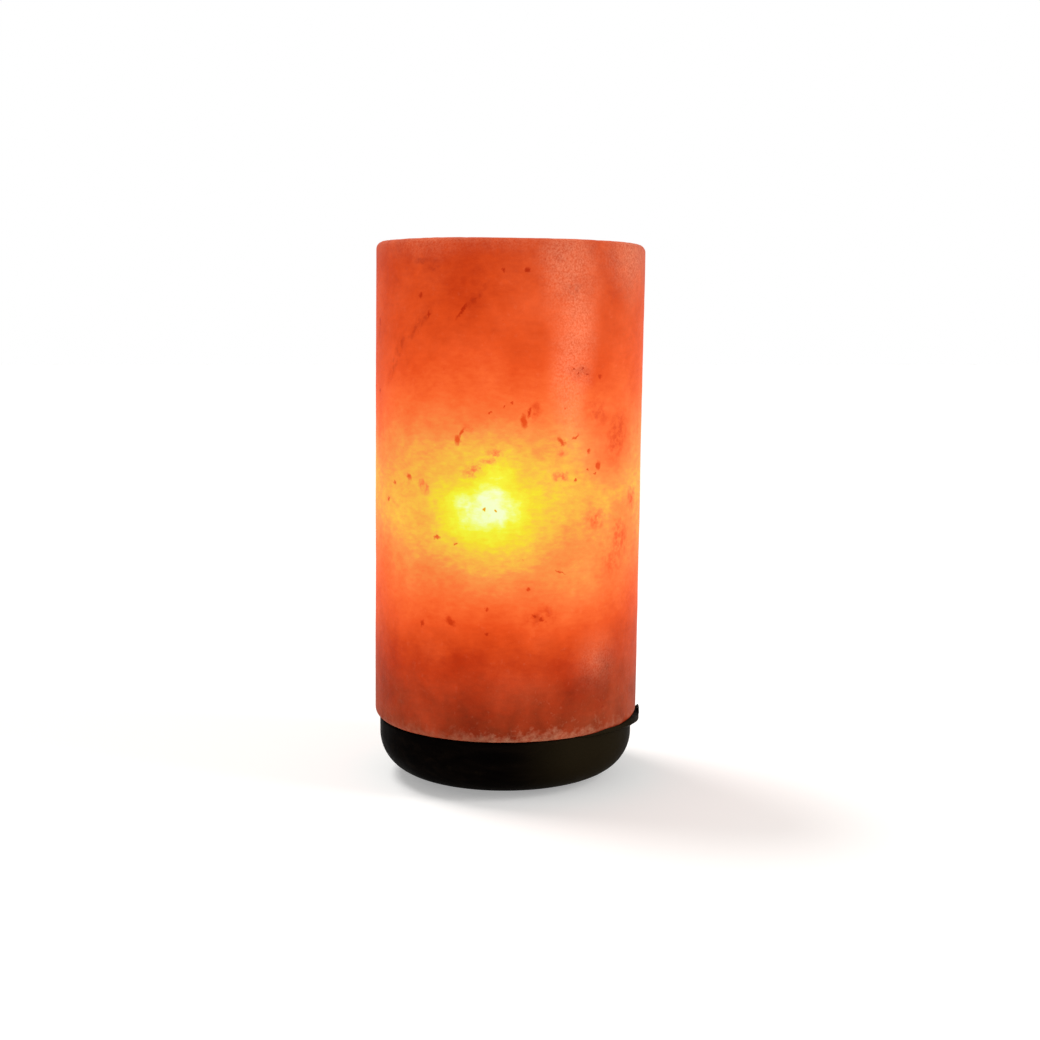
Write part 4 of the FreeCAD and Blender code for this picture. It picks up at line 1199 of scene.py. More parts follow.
# ---------------------------------------------------------------------------- forms and pieces
class Outline:
    """Profile drawn with lines and arcs in the plane y = 0, in millimetres, to be turned about Z."""

    def __init__(self, radius: float, height: float) -> None:
        """Starts the profile.

        Args:
            radius: Distance of the first point from the axis.
            height: Height of the first point.
        """
        self.form = bmesh.new()
        self.start = self.form.verts.new((radius * MM, 0.0, height * MM))
        self.end = self.start

    def line(self, radius: float, height: float, cuts: int = 0) -> "Outline":
        """Draws a straight run.

        Args:
            radius: Distance of its end from the axis.
            height: Height of its end.
            cuts: Points set evenly along it.

        Returns:
            The profile.
        """
        began, goal = self.end.co.copy(), Vector((radius * MM, 0.0, height * MM))
        for step in range(1, cuts + 2):
            spot = self.form.verts.new(began.lerp(goal, step / (cuts + 1)))
            self.form.edges.new((self.end, spot))
            self.end = spot
        return self

    def arc(self, radius: float, height: float, degrees: float, steps: int) -> "Outline":
        """Draws an arc about a centre.

        Args:
            radius: Distance of the centre from the axis.
            height: Height of the centre.
            degrees: Turn, clockwise where positive.
            steps: Runs that the arc is made of.

        Returns:
            The profile.
        """
        turned = bmesh.ops.spin(
            self.form,
            geom=[self.end],
            cent=(radius * MM, 0.0, height * MM),
            axis=(0.0, 1.0, 0.0),
            angle=math.radians(degrees),
            steps=steps,
            use_merge=False,
        )
        self.end = next(item for item in turned["geom_last"] if isinstance(item, bmesh.types.BMVert))
        return self

    def close(self) -> "Outline":
        """Joins the end of the profile to its start."""
        self.form.edges.new((self.end, self.start))
        return self

    def turn(self, segments: int) -> bmesh.types.BMesh:
        """Turns the profile about the vertical axis.

        Args:
            segments: Faces round the axis.

        Returns:
            The closed form.
        """
        bmesh.ops.spin(
            self.form,
            geom=self.form.verts[:] + self.form.edges[:],
            cent=(0.0, 0.0, 0.0),
            axis=(0.0, 0.0, 1.0),
            angle=FULL_TURN,
            steps=segments,
            use_merge=True,
        )
        bmesh.ops.remove_doubles(self.form, verts=self.form.verts, dist=0.0001 * MM)
        bmesh.ops.recalc_face_normals(self.form, faces=self.form.faces)
        return self.form


@dataclass(frozen=True)
class Thread:
    """Right-handed thread, pressed into a turned barrel by moving its wall inwards at the valleys."""

    pitch: float
    depth: float
    low: float
    high: float
    ease: float
    rounded: bool = True

    def press(self, form: bmesh.types.BMesh, least: float, most: float) -> None:
        """Moves every point whose radius lies between two limits.

        Args:
            form: The turned form.
            least: Smallest radius that is moved, in millimetres.
            most: Largest radius that is moved, in millimetres.
        """
        for point in form.verts:
            radius = math.hypot(point.co.x, point.co.y) / MM
            height = point.co.z / MM
            if not (least <= radius <= most and self.low < height < self.high):
                continue
            turn = height / self.pitch - math.atan2(point.co.y, point.co.x) / FULL_TURN
            valley = 0.5 - 0.5 * math.cos(FULL_TURN * turn)
            if not self.rounded:
                valley = 1 - abs(2 * (turn - math.floor(turn)) - 1)
            faded = min(1.0, (height - self.low) / self.ease, (self.high - height) / self.ease)
            scale = (radius - self.depth * valley * faded) / radius
            point.co.x *= scale
            point.co.y *= scale


def make_piece(
    name: str,
    form: bmesh.types.BMesh,
    finish: Finish,
    body: Body,
    replaces: tuple[str, ...] = (),
    crease: float = 35.0,
) -> bpy.types.Object:
    """Turns a finished form into a piece of the lamp.

    Args:
        name: Name of the piece.
        form: Its shape, in metres, in place.
        finish: Its surface.
        body: Body that it rides on.
        replaces: Nodes that it stands for.
        crease: Least angle, in degrees, at which an edge stays sharp.

    Returns:
        The piece.
    """
    mesh = bpy.data.meshes.new(name)
    form.to_mesh(mesh)
    form.free()
    mesh.shade_smooth()
    mesh.set_sharp_from_angle(angle=math.radians(crease))
    piece = bpy.data.objects.new(name, mesh)
    bpy.context.scene.collection.objects.link(piece)
    mesh.materials.append(finish.material())
    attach(piece, body.value)
    if replaces:
        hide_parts(*replaces)
    LOG.info("%s: %d faces, on %s", name, len(mesh.polygons), body.value)
    return piece


def dress_node(node: str, finish: Finish) -> None:
    """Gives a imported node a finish, and keeps its shape.

    Args:
        node: Name of the node.
        finish: Its surface.
    """
    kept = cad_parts[node]
    for holder in kept.material_slots:
        holder.material = finish.material()
    LOG.info("%s: kept, in %s", node, finish.title)


def carve(form: bmesh.types.BMesh, cutters: bmesh.types.BMesh) -> bmesh.types.BMesh:
    """Cuts one form out of another.

    Args:
        form: The form that is cut. It is used up.
        cutters: What is taken out of it. It is used up.

    Returns:
        The cut form.
    """
    pair = []
    for title, shape in (("carved", form), ("cutters", cutters)):
        mesh = bpy.data.meshes.new(title)
        shape.to_mesh(mesh)
        shape.free()
        item = bpy.data.objects.new(title, mesh)
        bpy.context.scene.collection.objects.link(item)
        pair.append(item)
    carved, tool = pair
    cut = carved.modifiers.new("cut", "BOOLEAN")
    cut.operation = "DIFFERENCE"
    cut.solver = "EXACT"
    cut.object = tool
    result = bmesh.new()
    seen = carved.evaluated_get(bpy.context.evaluated_depsgraph_get())
    result.from_mesh(seen.to_mesh())
    for item in pair:
        mesh = item.data
        bpy.data.objects.remove(item)
        bpy.data.meshes.remove(mesh)
    return result


# --------------------------------------------------------------------------- the lamp's pieces
@dataclass
class SaltBlock:
    """Salt cylinder that leans a little on its level sole, with its bore and holes for its plugs."""

    radius: float = 50.0
    height: float = 177.0
    lean: float = 0.75
    seam: float = 22.5
    top_round: float = 2.6
    foot_round: float = 3.2
    bore_radius: float = 19.5
    bore_depth: float = 120.0
    plug_circle: float = 34.0
    plug_hole: float = 3.7
    plug_depth: float = 24.2
    plugs: int = 3
    segments: int = 360
    # wear: widths of the waves, and how deep each goes
    wave_mm: float = 31.0
    wave_depth: float = 0.3
    dent_mm: float = 6.0
    dent_depth: float = 0.1
    core_break: float = 1.6
    nick_mm: float = 2.6
    nick_depth: float = 0.7
    chip_mm: float = 2.1
    chip_depth: float = 1.5
    chip_side: float = 14.0
    ground_depth: float = 0.85
    ground_height: float = 9.0

    def build(self) -> None:
        """Makes the block and dresses it."""
        form = self.turned()
        self.weather(form)
        form = carve(form, self.plug_holes())
        make_piece("salt_cylinder", form, RockSalt(), Body.LAMP, ("salt_block",), 50.0)

    def turned(self) -> bmesh.types.BMesh:
        """Turns the outline of the block and of its bore.

        Returns:
            The block, still upright and unworn.
        """
        end = self.seam + self.bore_depth
        top = self.seam + self.height
        foot = self.seam + self.foot_round
        outline = Outline(0.0, end)
        outline.line(self.bore_radius, end, 6).line(self.bore_radius, self.seam, 30)
        outline.line(self.radius - self.foot_round, self.seam, 9)
        outline.arc(self.radius - self.foot_round, foot, -90.0, 7)
        outline.line(self.radius, foot + 6.0, 7).line(self.radius, top - self.top_round - 4.0, 104)
        outline.line(self.radius, top - self.top_round, 4)
        outline.arc(self.radius - self.top_round, top - self.top_round, -90.0, 7)
        outline.line(0.0, top, 22)
        return outline.turn(self.segments)

    def weather(self, form: bmesh.types.BMesh) -> None:
        """Leans the block, and wears it where a lathe, a wash and years of handling do.

        Args:
            form: The turned block.
        """
        slope = math.sin(math.radians(self.lean))
        top = self.seam + self.height
        for point in form.verts:
            place = point.co / MM
            flat = Vector((place.x, place.y, 0.0))
            end = self.seam + self.bore_depth
            if flat.length < self.bore_radius + 0.01 and place.z < end + 0.01:
                # the core snaps off roughly at the end of the bore
                if place.z > end - 0.01 and flat.length < self.bore_radius - 0.5:
                    rough = 0.5 + 0.5 * noise.noise(place / self.dent_mm)
                    point.co.z += self.core_break * MM * rough
                continue
            rise = (place.z - self.seam) / self.height
            outward = flat.normalized()
            # slow waves of hand turning, then the small dents of the wash
            dent = self.wave_depth * (0.5 + 0.5 * noise.noise(place / self.wave_mm))
            dent += self.dent_depth * (0.5 + 0.5 * noise.noise(place / self.dent_mm))
            side = min(1.0, max(0.0, (flat.length - 25.0) / 20.0))
            place = place - outward * dent * side
            if place.z > top - self.top_round:
                swell = 0.25 * (0.5 + 0.5 * noise.noise(place / 19.0))
                place.z -= swell + 0.08 * noise.noise(place / 3.0)
                # nicks along the upper rim
                nick = max(0.0, noise.noise(place / self.nick_mm) - 0.42) * 1.6
                rim = max(0.0, 1 - abs(flat.length - self.radius + 1.0) / 2.5)
                place -= (outward * self.nick_depth + Vector((0.0, 0.0, self.nick_depth))) * nick * rim
            # the front of the top was ground a little lower
            near_top = min(1.0, max(0.0, (place.z - top + self.ground_height) / self.ground_height))
            place.z -= self.ground_depth * near_top * max(0.0, -place.y / self.radius) ** 2
            # chips along the lower rim, most of them right of the front
            above = place.z - self.seam
            if above < 5.5 and flat.length > self.radius - 5.0:
                azimuth = math.degrees(math.atan2(place.x, -place.y))
                worn = 0.5 + 0.9 * math.exp(-(((azimuth - self.chip_side) / 26.0) ** 2))
                chip = noise.noise(place / self.chip_mm) + 0.5 * noise.noise(place / 0.9)
                bite = max(0.0, chip - 0.12) * worn * max(0.0, 1 - abs(above - 1.6) / 3.6)
                place -= outward * self.chip_depth * bite
            shift = slope * (place.z - self.seam)
            place.z -= place.x * slope * rise
            place.x += shift
            point.co = place * MM

    def plug_holes(self) -> bmesh.types.BMesh:
        """Makes what the holes for the plugs take out of the sole.

        Returns:
            The cylinders that are cut away.
        """
        tools = bmesh.new()
        for index in range(self.plugs):
            turn = math.radians(270.0 + 360.0 * index / self.plugs)
            spot = Vector((math.cos(turn), math.sin(turn), 0.0)) * self.plug_circle
            spot.z = self.seam + self.plug_depth / 2 - 1.0
            bmesh.ops.create_cone(
                tools,
                cap_ends=True,
                segments=40,
                radius1=self.plug_hole * MM,
                radius2=self.plug_hole * MM,
                depth=(self.plug_depth + 2.0) * MM,
                matrix=Matrix.Translation(spot * MM),
            )
        return tools


@dataclass
class WoodenBase:
    """Turned base with the torn lip of its rim, its screws, plugs and feet."""

    rim: float = 48.0
    seam: float = 22.5
    salt_radius: float = 50.0
    salt_round: float = 3.2
    # the lip's azimuth, top, reach and root
    lip: tuple[tuple[float, float, float, float], ...] = (
        (35.0, 22.65, 48.1, 22.1),
        (41.0, 23.3, 49.2, 21.9),
        (47.0, 23.9, 49.7, 21.5),
        (53.0, 23.8, 49.8, 21.2),
        (58.0, 23.5, 49.8, 21.0),
        (64.0, 24.0, 50.4, 20.4),
        (70.0, 24.2, 51.0, 19.6),
        (76.0, 23.7, 51.2, 19.3),
        (82.0, 23.3, 51.2, 19.3),
        (88.5, 23.6, 51.2, 19.9),
    )
    head_top: float = 7.5
    screw_circle: float = 34.0
    screws: int = 3
    shank: float = 1.9
    root: float = 1.3
    head: float = 3.9
    head_edge: float = 0.5
    head_cone: float = 2.2
    plain_shank: float = 10.0
    screw_length: float = 36.0
    point: float = 4.0
    thread_pitch: float = 1.9
    slot: tuple[float, float, float] = (4.4, 0.9, 3.0)
    # how far the lip is sunk into the rim, how much it frays and how wide the frays are
    lip_sunk: float = 0.9
    fray_depth: float = 0.22
    fray_degrees: float = 2.3
    lip_steps: int = 36

    def build(self) -> None:
        """Dresses the disc and the fixings, and makes the torn lip and the threaded screws."""
        dress_node("wooden_base", StainedHardwood())
        dress_node("rubber_feet", Rubber())
        dress_node("screw_plugs", Nylon())
        self.build_lip()
        self.build_screws()

    def build_lip(self) -> None:
        """Raises the torn lip of the rim, which climbs the salt's foot from the right of the front."""
        began, until = math.radians(self.lip[0][0]), math.radians(self.lip[-1][0])
        # the section is drawn 1 mm square: its inner side hugs the salt, its outer side is torn wood
        outline = Outline(self.rim, 0.0)
        outline.line(self.rim, 1.0, 2).line(self.rim + 1.0, 1.0).line(self.rim + 1.0, 0.0, 1).close()
        form = outline.form
        bmesh.ops.rotate(form, verts=form.verts, matrix=Matrix.Rotation(began - math.pi / 2, 3, "Z"))
        bmesh.ops.spin(
            form,
            geom=form.verts[:] + form.edges[:],
            cent=(0.0, 0.0, 0.0),
            axis=(0.0, 0.0, 1.0),
            angle=until - began,
            steps=self.lip_steps,
            use_merge=False,
        )
        bmesh.ops.holes_fill(form, edges=[edge for edge in form.edges if edge.is_boundary])
        for point in form.verts:
            place = point.co / MM
            turn = math.atan2(place.x, -place.y)
            fray = noise.noise(Vector((math.degrees(turn) / self.fray_degrees, 0.0, 0.0)))
            top, reach, root = self.torn(math.degrees(turn))
            top += self.fray_depth * fray
            if math.hypot(place.x, place.y) < self.rim + 0.5:
                height = self.seam - self.lip_sunk + (top - self.seam + self.lip_sunk) * place.z
                radius = self.foot_of_salt(height) + 0.1 if height > self.seam else self.rim - 0.6
            else:
                height = root + (top - 0.25 - root) * place.z
                radius = self.rim - 0.15
                if place.z > 0.1:
                    radius = max(reach, self.foot_of_salt(top) + 0.25) + 0.1 * fray
            point.co = (radius * math.sin(turn) * MM, -radius * math.cos(turn) * MM, height * MM)
        bmesh.ops.recalc_face_normals(form, faces=form.faces)
        make_piece("torn_lip", form, StainedHardwood(), Body.LAMP, (), 40.0)

    def torn(self, azimuth: float) -> tuple[float, float, float]:
        """Gives the top, the reach and the root of the lip.

        Args:
            azimuth: Degrees from the front, to the right.

        Returns:
            Height of its top, radius of its outer side and height of its root, in millimetres.
        """
        for one, two in zip(self.lip, self.lip[1:]):
            if azimuth <= two[0] or two is self.lip[-1]:
                share = (azimuth - one[0]) / (two[0] - one[0])
                top, reach, root = (a + (b - a) * share for a, b in zip(one[1:], two[1:]))
                return (top, reach, root)
        raise ValueError("the lip has no length")

    def foot_of_salt(self, height: float) -> float:
        """Gives the radius of the salt's rounded foot at a height, in millimetres."""
        below = min(self.salt_round, max(0.0, self.seam + self.salt_round - height))
        return self.salt_radius - self.salt_round + math.sqrt(self.salt_round**2 - below**2)

    def build_screws(self) -> None:
        """Turns one countersunk screw, cuts its thread and its cross, and sets three of them."""
        foot = self.head_top - self.head_edge
        tip = self.head_top + self.screw_length
        threaded = self.head_top + self.plain_shank
        outline = Outline(0.0, foot)
        outline.line(self.head, foot, 3).line(self.head, self.head_top)
        outline.line(self.shank, self.head_top + self.head_cone, 2).line(self.shank, threaded, 2)
        outline.line(self.shank, tip - self.point, 110).line(0.2, tip, 12).line(0.0, tip)
        screw = outline.turn(28)
        Thread(self.thread_pitch, self.shank - self.root, threaded, tip - 0.5, 1.5, False).press(
            screw, 0.4, self.shank + 0.01
        )
        # the cross is two tapered slots, cut one after the other, as overlapping cutters leave nothing
        for turn in (0.0, math.pi / 2):
            blade = bmesh.new()
            bmesh.ops.create_cube(blade, size=1.0)
            bmesh.ops.scale(blade, vec=Vector(self.slot) * MM, verts=blade.verts)
            deep = [point for point in blade.verts if point.co.z > 0]
            bmesh.ops.scale(blade, vec=(0.35, 0.8, 1.0), verts=deep)
            bmesh.ops.rotate(blade, verts=blade.verts, matrix=Matrix.Rotation(turn, 3, "Z"))
            bmesh.ops.translate(blade, vec=(0.0, 0.0, (foot + 0.3) * MM), verts=blade.verts)
            screw = carve(screw, blade)
        bmesh.ops.translate(screw, vec=(0.0, -self.screw_circle * MM, 0.0), verts=screw.verts)
        first = screw.verts[:] + screw.edges[:] + screw.faces[:]
        for index in range(1, self.screws):
            copy = bmesh.ops.duplicate(screw, geom=first)["geom"]
            points = [item for item in copy if isinstance(item, bmesh.types.BMVert)]
            turn = Matrix.Rotation(FULL_TURN * index / self.screws, 3, "Z")
            bmesh.ops.rotate(screw, verts=points, matrix=turn)
        make_piece(
            "countersunk_screws", screw, ZincSteel(), Body.LAMP, ("base_screws",), 30.0
        )


@dataclass
class Lampholder:
    """Phenolic lampholder with its brass screw liner, terminals, inlet and lock nut."""

    liner_foot: float = 64.6
    liner_top: float = 82.5
    liner_radius: float = 7.45
    liner_wall: float = 0.4
    well: float = 5.6
    thread_pitch: float = 2.822
    thread_depth: float = 0.8
    inlet_radius: float = 5.0
    inlet_bore: float = 3.5
    inlet_foot: float = 28.1
    inlet_top: float = 40.5
    inlet_pitch: float = 1.0
    inlet_depth: float = 0.58
    inlet_edge: float = 0.5

    def build(self) -> None:
        """Dresses the moulded and cut pieces, and makes the threaded ones."""
        dress_node("holder_housing", Phenolic())
        dress_node("holder_end_cap", Phenolic())
        dress_node("terminal_block", Steatite())
        dress_node("terminal_plates", RolledBrass())
        dress_node("terminal_screws", RolledBrass())
        dress_node("contact_tongue", RolledBrass())
        dress_node("cord_bushing", Rubber())
        dress_node("lock_nut", ZincSteel())
        dress_node("clip_yoke", SpringSteel())
        self.build_liner()
        self.build_inlet()

    def build_liner(self) -> None:
        """Rolls the thread of the liner into its sheet."""
        inner = self.liner_radius - self.liner_wall
        outline = Outline(self.well, self.liner_foot)
        outline.line(self.liner_radius, self.liner_foot, 2).line(self.liner_radius, self.liner_top, 76)
        outline.line(inner, self.liner_top).line(inner, self.liner_foot + self.liner_wall, 76)
        outline.line(self.well, self.liner_foot + self.liner_wall, 2).close()
        form = outline.turn(72)
        low, high = self.liner_foot + 1.2, self.liner_top - 0.5
        Thread(self.thread_pitch, self.thread_depth, low, high, 1.4).press(
            form, inner - 0.01, self.liner_radius + 0.01
        )
        make_piece("threaded_liner", form, RolledBrass(), Body.HOLDER, ("screw_liner",))

    def build_inlet(self) -> None:
        """Cuts the thread of the tube that the cord enters by."""
        outline = Outline(self.inlet_bore, self.inlet_foot)
        edge = self.inlet_radius - self.inlet_edge
        outline.line(edge, self.inlet_foot).line(self.inlet_radius, self.inlet_foot + self.inlet_edge)
        outline.line(self.inlet_radius, self.inlet_top - self.inlet_edge, 84).line(edge, self.inlet_top)
        outline.line(self.inlet_bore, self.inlet_top).close()
        form = outline.turn(56)
        low, high = self.inlet_foot + 0.4, self.inlet_top - 0.4
        Thread(self.inlet_pitch, self.inlet_depth, low, high, 0.6, False).press(
            form, self.inlet_radius - 0.1, self.inlet_radius + 0.01
        )
        nodes = ("cord_inlet_tube",)
        make_piece("threaded_inlet", form, ZincSteel(), Body.HOLDER, nodes, 25.0)


@dataclass
class SprungWing:
    """One wing of the clip: a bent strip with a shoulder that rubs on the bore and a finger tab."""

    side: int
    body: Body
    node: str
    width: float = 9.0
    thickness: float = 0.6
    bends: tuple[tuple[float, float], ...] = (
        (11.5, 33.8),
        (11.5, 32.8),
        (18.4, 25.7),
        (18.4, 21.5),
        (14.4, 11.1),
        (16.24, 9.26),
    )
    bend_round: tuple[float, ...] = (0.6, 1.3, 2.2, 0.9)
    corner_round: float = 1.6
    edge_round: float = 0.09

    def build(self) -> None:
        """Bends the strip, gives it its thickness and dresses it."""
        form = bmesh.new()
        half = self.width / 2
        spots = [form.verts.new((x * MM, -half * MM, z * MM)) for x, z in self.bends]
        runs = [form.edges.new(pair) for pair in zip(spots, spots[1:])]
        drawn = bmesh.ops.extrude_edge_only(form, edges=runs)["geom"]
        far = [item for item in drawn if isinstance(item, bmesh.types.BMVert)]
        bmesh.ops.translate(form, vec=(0.0, self.width * MM, 0.0), verts=far)
        for (x, z), reach in zip(self.bends[1:-1], self.bend_round):
            bend = [
                edge
                for edge in form.edges
                if all(math.hypot(end.co.x / MM - x, end.co.z / MM - z) < 0.01 for end in edge.verts)
            ]
            bmesh.ops.bevel(
                form,
                geom=bend,
                offset=reach * MM,
                offset_type="OFFSET",
                affect="EDGES",
                segments=6,
                profile=0.5,
                material=-1,
            )
        # the free corners of the finger tab are clipped round
        tip = min(point.co.z for point in form.verts)
        corners = [point for point in form.verts if point.co.z < tip + 0.01 * MM]
        bmesh.ops.bevel(
            form,
            geom=corners,
            offset=self.corner_round * MM,
            offset_type="OFFSET",
            affect="VERTICES",
            segments=5,
            profile=0.5,
            material=-1,
        )
        bmesh.ops.recalc_face_normals(form, faces=form.faces)
        bmesh.ops.solidify(form, geom=form.faces[:], thickness=self.thickness * MM)
        # the sheet is thickened to one side of its faces, so it is centred on the bend line again
        bmesh.ops.recalc_face_normals(form, faces=form.faces)
        end = [point.co.x for point in form.verts if point.co.z > (self.bends[0][1] - 0.05) * MM]
        shift = self.bends[0][0] - sum(end) / MM / len(end)
        bmesh.ops.translate(form, vec=(shift * MM, 0.0, 0.0), verts=form.verts)
        sharp = math.radians(60)
        rims = [edge for edge in form.edges if edge.is_manifold and edge.calc_face_angle() > sharp]
        bmesh.ops.bevel(
            form,
            geom=rims,
            offset=self.edge_round * MM,
            offset_type="OFFSET",
            affect="EDGES",
            segments=2,
            profile=0.5,
            material=-1,
        )
        if self.side < 0:
            bmesh.ops.scale(form, vec=(-1.0, 1.0, 1.0), verts=form.verts)
        bmesh.ops.recalc_face_normals(form, faces=form.faces)
        make_piece(f"bent_{self.node}", form, SpringSteel(), self.body, (self.node,))


@dataclass
class Bulb:
    """Small screw-cap bulb with its rolled cap, blown envelope, stem, leads and wound filament."""

    cap_foot: float = 66.0
    cap_radius: float = 6.9
    cap_sheet: float = 0.35
    insulator: float = 4.6
    skirt_foot: float = 83.9
    skirt_radius: float = 8.8
    cap_top: float = 87.6
    thread_pitch: float = 2.822
    thread_depth: float = 0.8
    crown_centre: float = 107.0
    crown_radius: float = 13.0
    wall: float = 0.6
    taper: float = 15.0
    neck: float = 84.9
    filament_reach: float = 6.4
    filament_rise: float = 1.9
    light: float = 100.3
    coil_radius: float = 0.28
    wire_radius: float = 0.055
    coil_turns: int = 44
    solder: float = 0.5
    # the coil stops short of the supports' eyes
    coil_short: float = 0.4

    def build(self) -> None:
        """Dresses the glass and the wires, and makes the cap, the envelope and the coil."""
        dress_node("bulb_contact_button", Solder())
        dress_node("bulb_insulator", CapGlass())
        dress_node("glass_stem", BlownGlass())
        dress_node("lead_wires", NickelWire())
        dress_node("filament_supports", NickelWire())
        self.build_cap()
        self.build_envelope()
        self.build_filament()

    def build_cap(self) -> None:
        """Draws the brass cap, and rolls its thread and its skirt."""
        sheet = self.cap_sheet
        shoulder = (self.cap_radius - self.insulator) * 0.45
        outline = Outline(self.insulator, self.cap_foot)
        outline.line(self.cap_radius, self.cap_foot + shoulder, 2)
        outline.line(self.cap_radius, self.skirt_foot - sheet, 72)
        outline.line(self.skirt_radius - 0.6, self.skirt_foot + sheet)
        outline.arc(self.skirt_radius - 0.6, self.skirt_foot + sheet + 0.6, -90.0, 4)
        outline.line(self.skirt_radius, self.cap_top - 0.15, 2)
        outline.line(self.skirt_radius - 0.12, self.cap_top)
        outline.line(self.skirt_radius - sheet, self.cap_top)
        outline.line(self.skirt_radius - sheet, self.skirt_foot + 3 * sheet, 2)
        outline.line(self.cap_radius - sheet, self.skirt_foot)
        outline.line(self.cap_radius - sheet, self.cap_foot + shoulder + sheet, 72)
        outline.line(self.insulator, self.cap_foot + sheet, 2).close()
        form = outline.turn(96)
        low, high = self.cap_foot + 0.9, self.skirt_foot - 0.6
        Thread(self.thread_pitch, self.thread_depth, low, high, 1.3).press(
            form, self.cap_radius - sheet - 0.01, self.cap_radius + 0.01
        )
        make_piece("rolled_bulb_cap", form, RolledBrass(), Body.BULB, ("bulb_screw_cap",))
        # the second lead is soldered to the edge of the skirt
        drop = bmesh.new()
        bmesh.ops.create_uvsphere(drop, u_segments=20, v_segments=12, radius=self.solder * MM)
        bmesh.ops.scale(drop, vec=(1.0, 1.8, 1.1), verts=drop.verts)
        for point in drop.verts:
            point.co *= 1 + 0.12 * noise.noise(point.co / (self.solder * MM))
        spot = Vector((self.skirt_radius - 0.35, 0.0, self.cap_top - 0.45)) * MM
        bmesh.ops.translate(drop, vec=spot, verts=drop.verts)
        make_piece("skirt_solder", drop, Solder(), Body.BULB)

    def build_envelope(self) -> None:
        """Blows the envelope: a sphere that runs into a cone towards the neck."""
        slant = math.radians(self.taper)
        walls = []
        for radius in (self.crown_radius, self.crown_radius - self.wall):
            join = (radius * math.cos(slant), self.crown_centre - radius * math.sin(slant))
            walls.append((join, join[0] - (join[1] - self.neck) * math.tan(slant)))
        (_, outer_neck), (inner_join, inner_neck) = walls
        outline = Outline(0.0, self.crown_centre + self.crown_radius)
        outline.arc(0.0, self.crown_centre, 90.0 + self.taper, 30)
        outline.line(outer_neck, self.neck, 12).line(inner_neck, self.neck)
        outline.line(*inner_join, 12)
        outline.arc(0.0, self.crown_centre, -90.0 - self.taper, 30)
        form = outline.turn(120)
        make_piece(
            "blown_envelope", form, BlownGlass(), Body.BULB, ("glass_envelope",), 60.0
        )

    def build_filament(self) -> None:
        """Winds the filament as a straight coil, then bends it into its arc."""
        reach, rise = self.filament_reach, self.filament_rise
        arc = (reach**2 + rise**2) / (2 * rise)
        swing = math.asin((reach - self.coil_short) / arc)
        length = 2 * arc * swing
        form = bmesh.new()
        ring = bmesh.ops.create_circle(form, segments=6, radius=self.wire_radius * MM)["verts"]
        bmesh.ops.translate(form, vec=(0.0, -self.coil_radius * MM, 0.0), verts=ring)
        steps = self.coil_turns * 14
        bmesh.ops.spin(
            form,
            geom=form.verts[:] + form.edges[:],
            cent=(0.0, 0.0, 0.0),
            axis=(1.0, 0.0, 0.0),
            dvec=(length / steps * MM, 0.0, 0.0),
            angle=FULL_TURN * self.coil_turns,
            steps=steps,
            use_merge=False,
        )
        bmesh.ops.holes_fill(form, edges=[edge for edge in form.edges if edge.is_boundary])
        bmesh.ops.translate(form, vec=(-length / 2 * MM, 0.0, 0.0), verts=form.verts)
        hub = self.light + rise - arc
        for point in form.verts:
            turn = point.co.x / (arc * MM)
            out = arc + point.co.z / MM
            point.co.x = out * math.sin(turn) * MM
            point.co.z = (hub + out * math.cos(turn)) * MM
        bmesh.ops.recalc_face_normals(form, faces=form.faces)
        glowing = GlowingTungsten()
        make_piece("wound_filament", form, glowing, Body.BULB, ("filament",), 80.0)


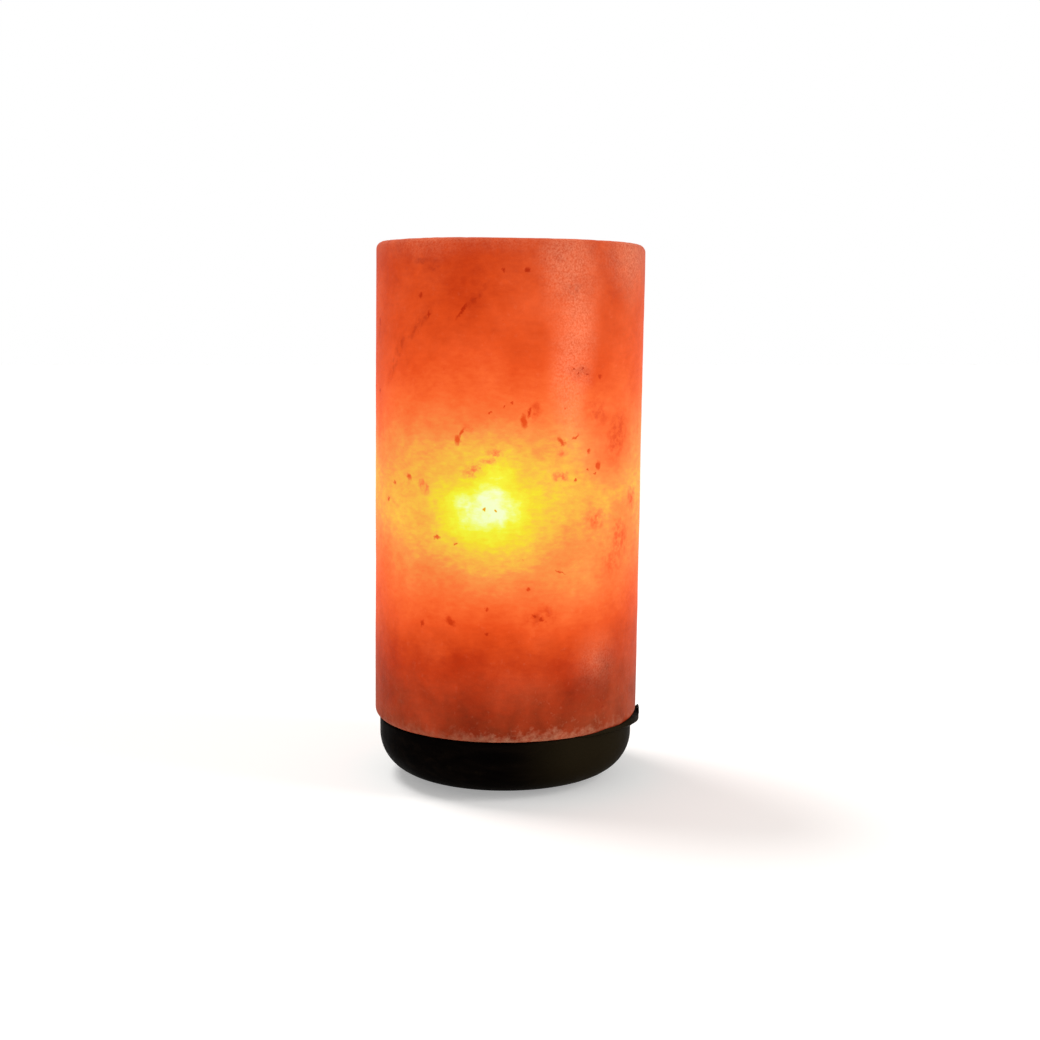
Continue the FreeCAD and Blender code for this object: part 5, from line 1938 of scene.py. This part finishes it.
# ---------------------------------------------------------------------------------- the studio
@dataclass
class Studio:
    """Pale floor, soft lights and the camera of the photograph."""

    lens: float = 51.98
    camera_place: tuple[float, float, float] = (0.0, -0.5659, 0.1623)
    pitch: float = 0.116
    yaw: float = 0.01
    sun_side: tuple[float, float, float] = (-0.42, 0.34, 0.9)
    sun_strength: float = 1.8
    sun_spread: float = 24.0
    window_place: tuple[float, float, float] = (0.75, -0.27, 0.46)
    window_aim: tuple[float, float, float] = (0.0, 0.0, 0.16)
    window_size: tuple[float, float] = (0.3, 0.6)
    window_power: float = 3.6
    room_light: float = 0.42
    floor_lift: float = 0.32
    floor_half: float = 12.0

    def build(self) -> None:
        """Sets up the floor, the world, the lights and the camera."""
        self.floor()
        self.world()
        self.sun()
        self.window()
        self.camera()

    def floor(self) -> None:
        """Lays a plain pale floor. It looks white where nothing shades it."""
        form = bmesh.new()
        bmesh.ops.create_grid(form, x_segments=2, y_segments=2, size=self.floor_half)
        mesh = bpy.data.meshes.new("studio_floor")
        form.to_mesh(mesh)
        form.free()
        ground = bpy.data.objects.new("studio_floor", mesh)
        bpy.context.scene.collection.objects.link(ground)
        paint = bpy.data.materials.new("matt white paper")
        paint.use_nodes = True
        tree = paint.node_tree
        tree.nodes.clear()
        shader = add_node(
            tree, "ShaderNodeBsdfPrincipled", {"Base Color": linear("E6E5E3"), "Roughness": 0.9}
        )
        shader.inputs["Specular IOR Level"].default_value = 0.1
        seen = self.seen_directly(tree)
        glow = add_node(
            tree, "ShaderNodeMath", {0: seen, 1: self.floor_lift}, operation="MULTIPLY"
        ).outputs[0]
        tree.links.new(glow, shader.inputs["Emission Strength"])
        shader.inputs["Emission Color"].default_value = (1.0, 1.0, 1.0, 1.0)
        add_node(tree, "ShaderNodeOutputMaterial", {"Surface": shader.outputs[0]})
        mesh.materials.append(paint)

    def seen_directly(self, tree: bpy.types.NodeTree) -> bpy.types.NodeSocket:
        """Gives 1 where the camera sees a surface, itself or in gloss or glass.

        Args:
            tree: Node tree of the floor or the world.

        Returns:
            The switch.
        """
        path = add_node(tree, "ShaderNodeLightPath")
        seen = path.outputs["Is Camera Ray"]
        for kind in ("Is Glossy Ray", "Is Transmission Ray"):
            seen = add_node(
                tree, "ShaderNodeMath", {0: seen, 1: path.outputs[kind]}, operation="MAXIMUM"
            ).outputs[0]
        return seen

    def world(self) -> None:
        """Makes the room: even soft light, and a white backdrop where it is seen."""
        room = bpy.data.worlds.new("white room")
        bpy.context.scene.world = room
        room.use_nodes = True
        tree = room.node_tree
        tree.nodes.clear()
        light = add_node(
            tree, "ShaderNodeBackground", {"Color": linear("FFFDFA"), "Strength": self.room_light}
        ).outputs[0]
        white = add_node(
            tree, "ShaderNodeBackground", {"Color": linear("FFFFFF"), "Strength": 1.0}
        ).outputs[0]
        mix = add_node(
            tree, "ShaderNodeMixShader", {0: self.seen_directly(tree), 1: light, 2: white}
        ).outputs[0]
        add_node(tree, "ShaderNodeOutputWorld", {"Surface": mix})

    def window(self) -> None:
        """Hangs the soft light of a tall window on the right."""
        panel = bpy.data.lights.new("tall_window", "AREA")
        panel.shape = "RECTANGLE"
        panel.size, panel.size_y = self.window_size
        panel.energy = self.window_power
        holder = bpy.data.objects.new("tall_window", panel)
        bpy.context.scene.collection.objects.link(holder)
        holder.location = self.window_place
        aim = Vector(self.window_aim) - Vector(self.window_place)
        holder.rotation_euler = aim.to_track_quat("-Z", "Y").to_euler()

    def sun(self) -> None:
        """Hangs the main light, broad and far off, behind the lamp's left shoulder."""
        light = bpy.data.lights.new("high_soft_light", "SUN")
        light.energy = self.sun_strength
        light.angle = math.radians(self.sun_spread)
        holder = bpy.data.objects.new("high_soft_light", light)
        holder.visible_glossy = False
        bpy.context.scene.collection.objects.link(holder)
        holder.rotation_euler = (-Vector(self.sun_side)).to_track_quat("-Z", "Y").to_euler()

    def camera(self) -> None:
        """Sets the camera where the photograph was taken from."""
        view = bpy.data.cameras.new("camera")
        view.lens = self.lens
        view.sensor_width = 36.0
        view.clip_start = 0.01
        holder = bpy.data.objects.new("camera", view)
        bpy.context.scene.collection.objects.link(holder)
        holder.location = self.camera_place
        holder.rotation_euler = (math.pi / 2 - self.pitch, 0.0, -self.yaw)
        bpy.context.scene.camera = holder


def main() -> None:
    """Builds the lamp's pieces in order, then the studio."""
    logging.basicConfig(level=logging.INFO, format="%(name)s: %(message)s")
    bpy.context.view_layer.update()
    bpy.context.scene.view_settings.view_transform = "Standard"
    Studio().build()
    SaltBlock().build()
    WoodenBase().build()
    Lampholder().build()
    SprungWing(-1, Body.CLIP_LEFT, "clip_wing_left").build()
    SprungWing(1, Body.CLIP_RIGHT, "clip_wing_right").build()
    Bulb().build()


if __name__ == "__main__":
    main()
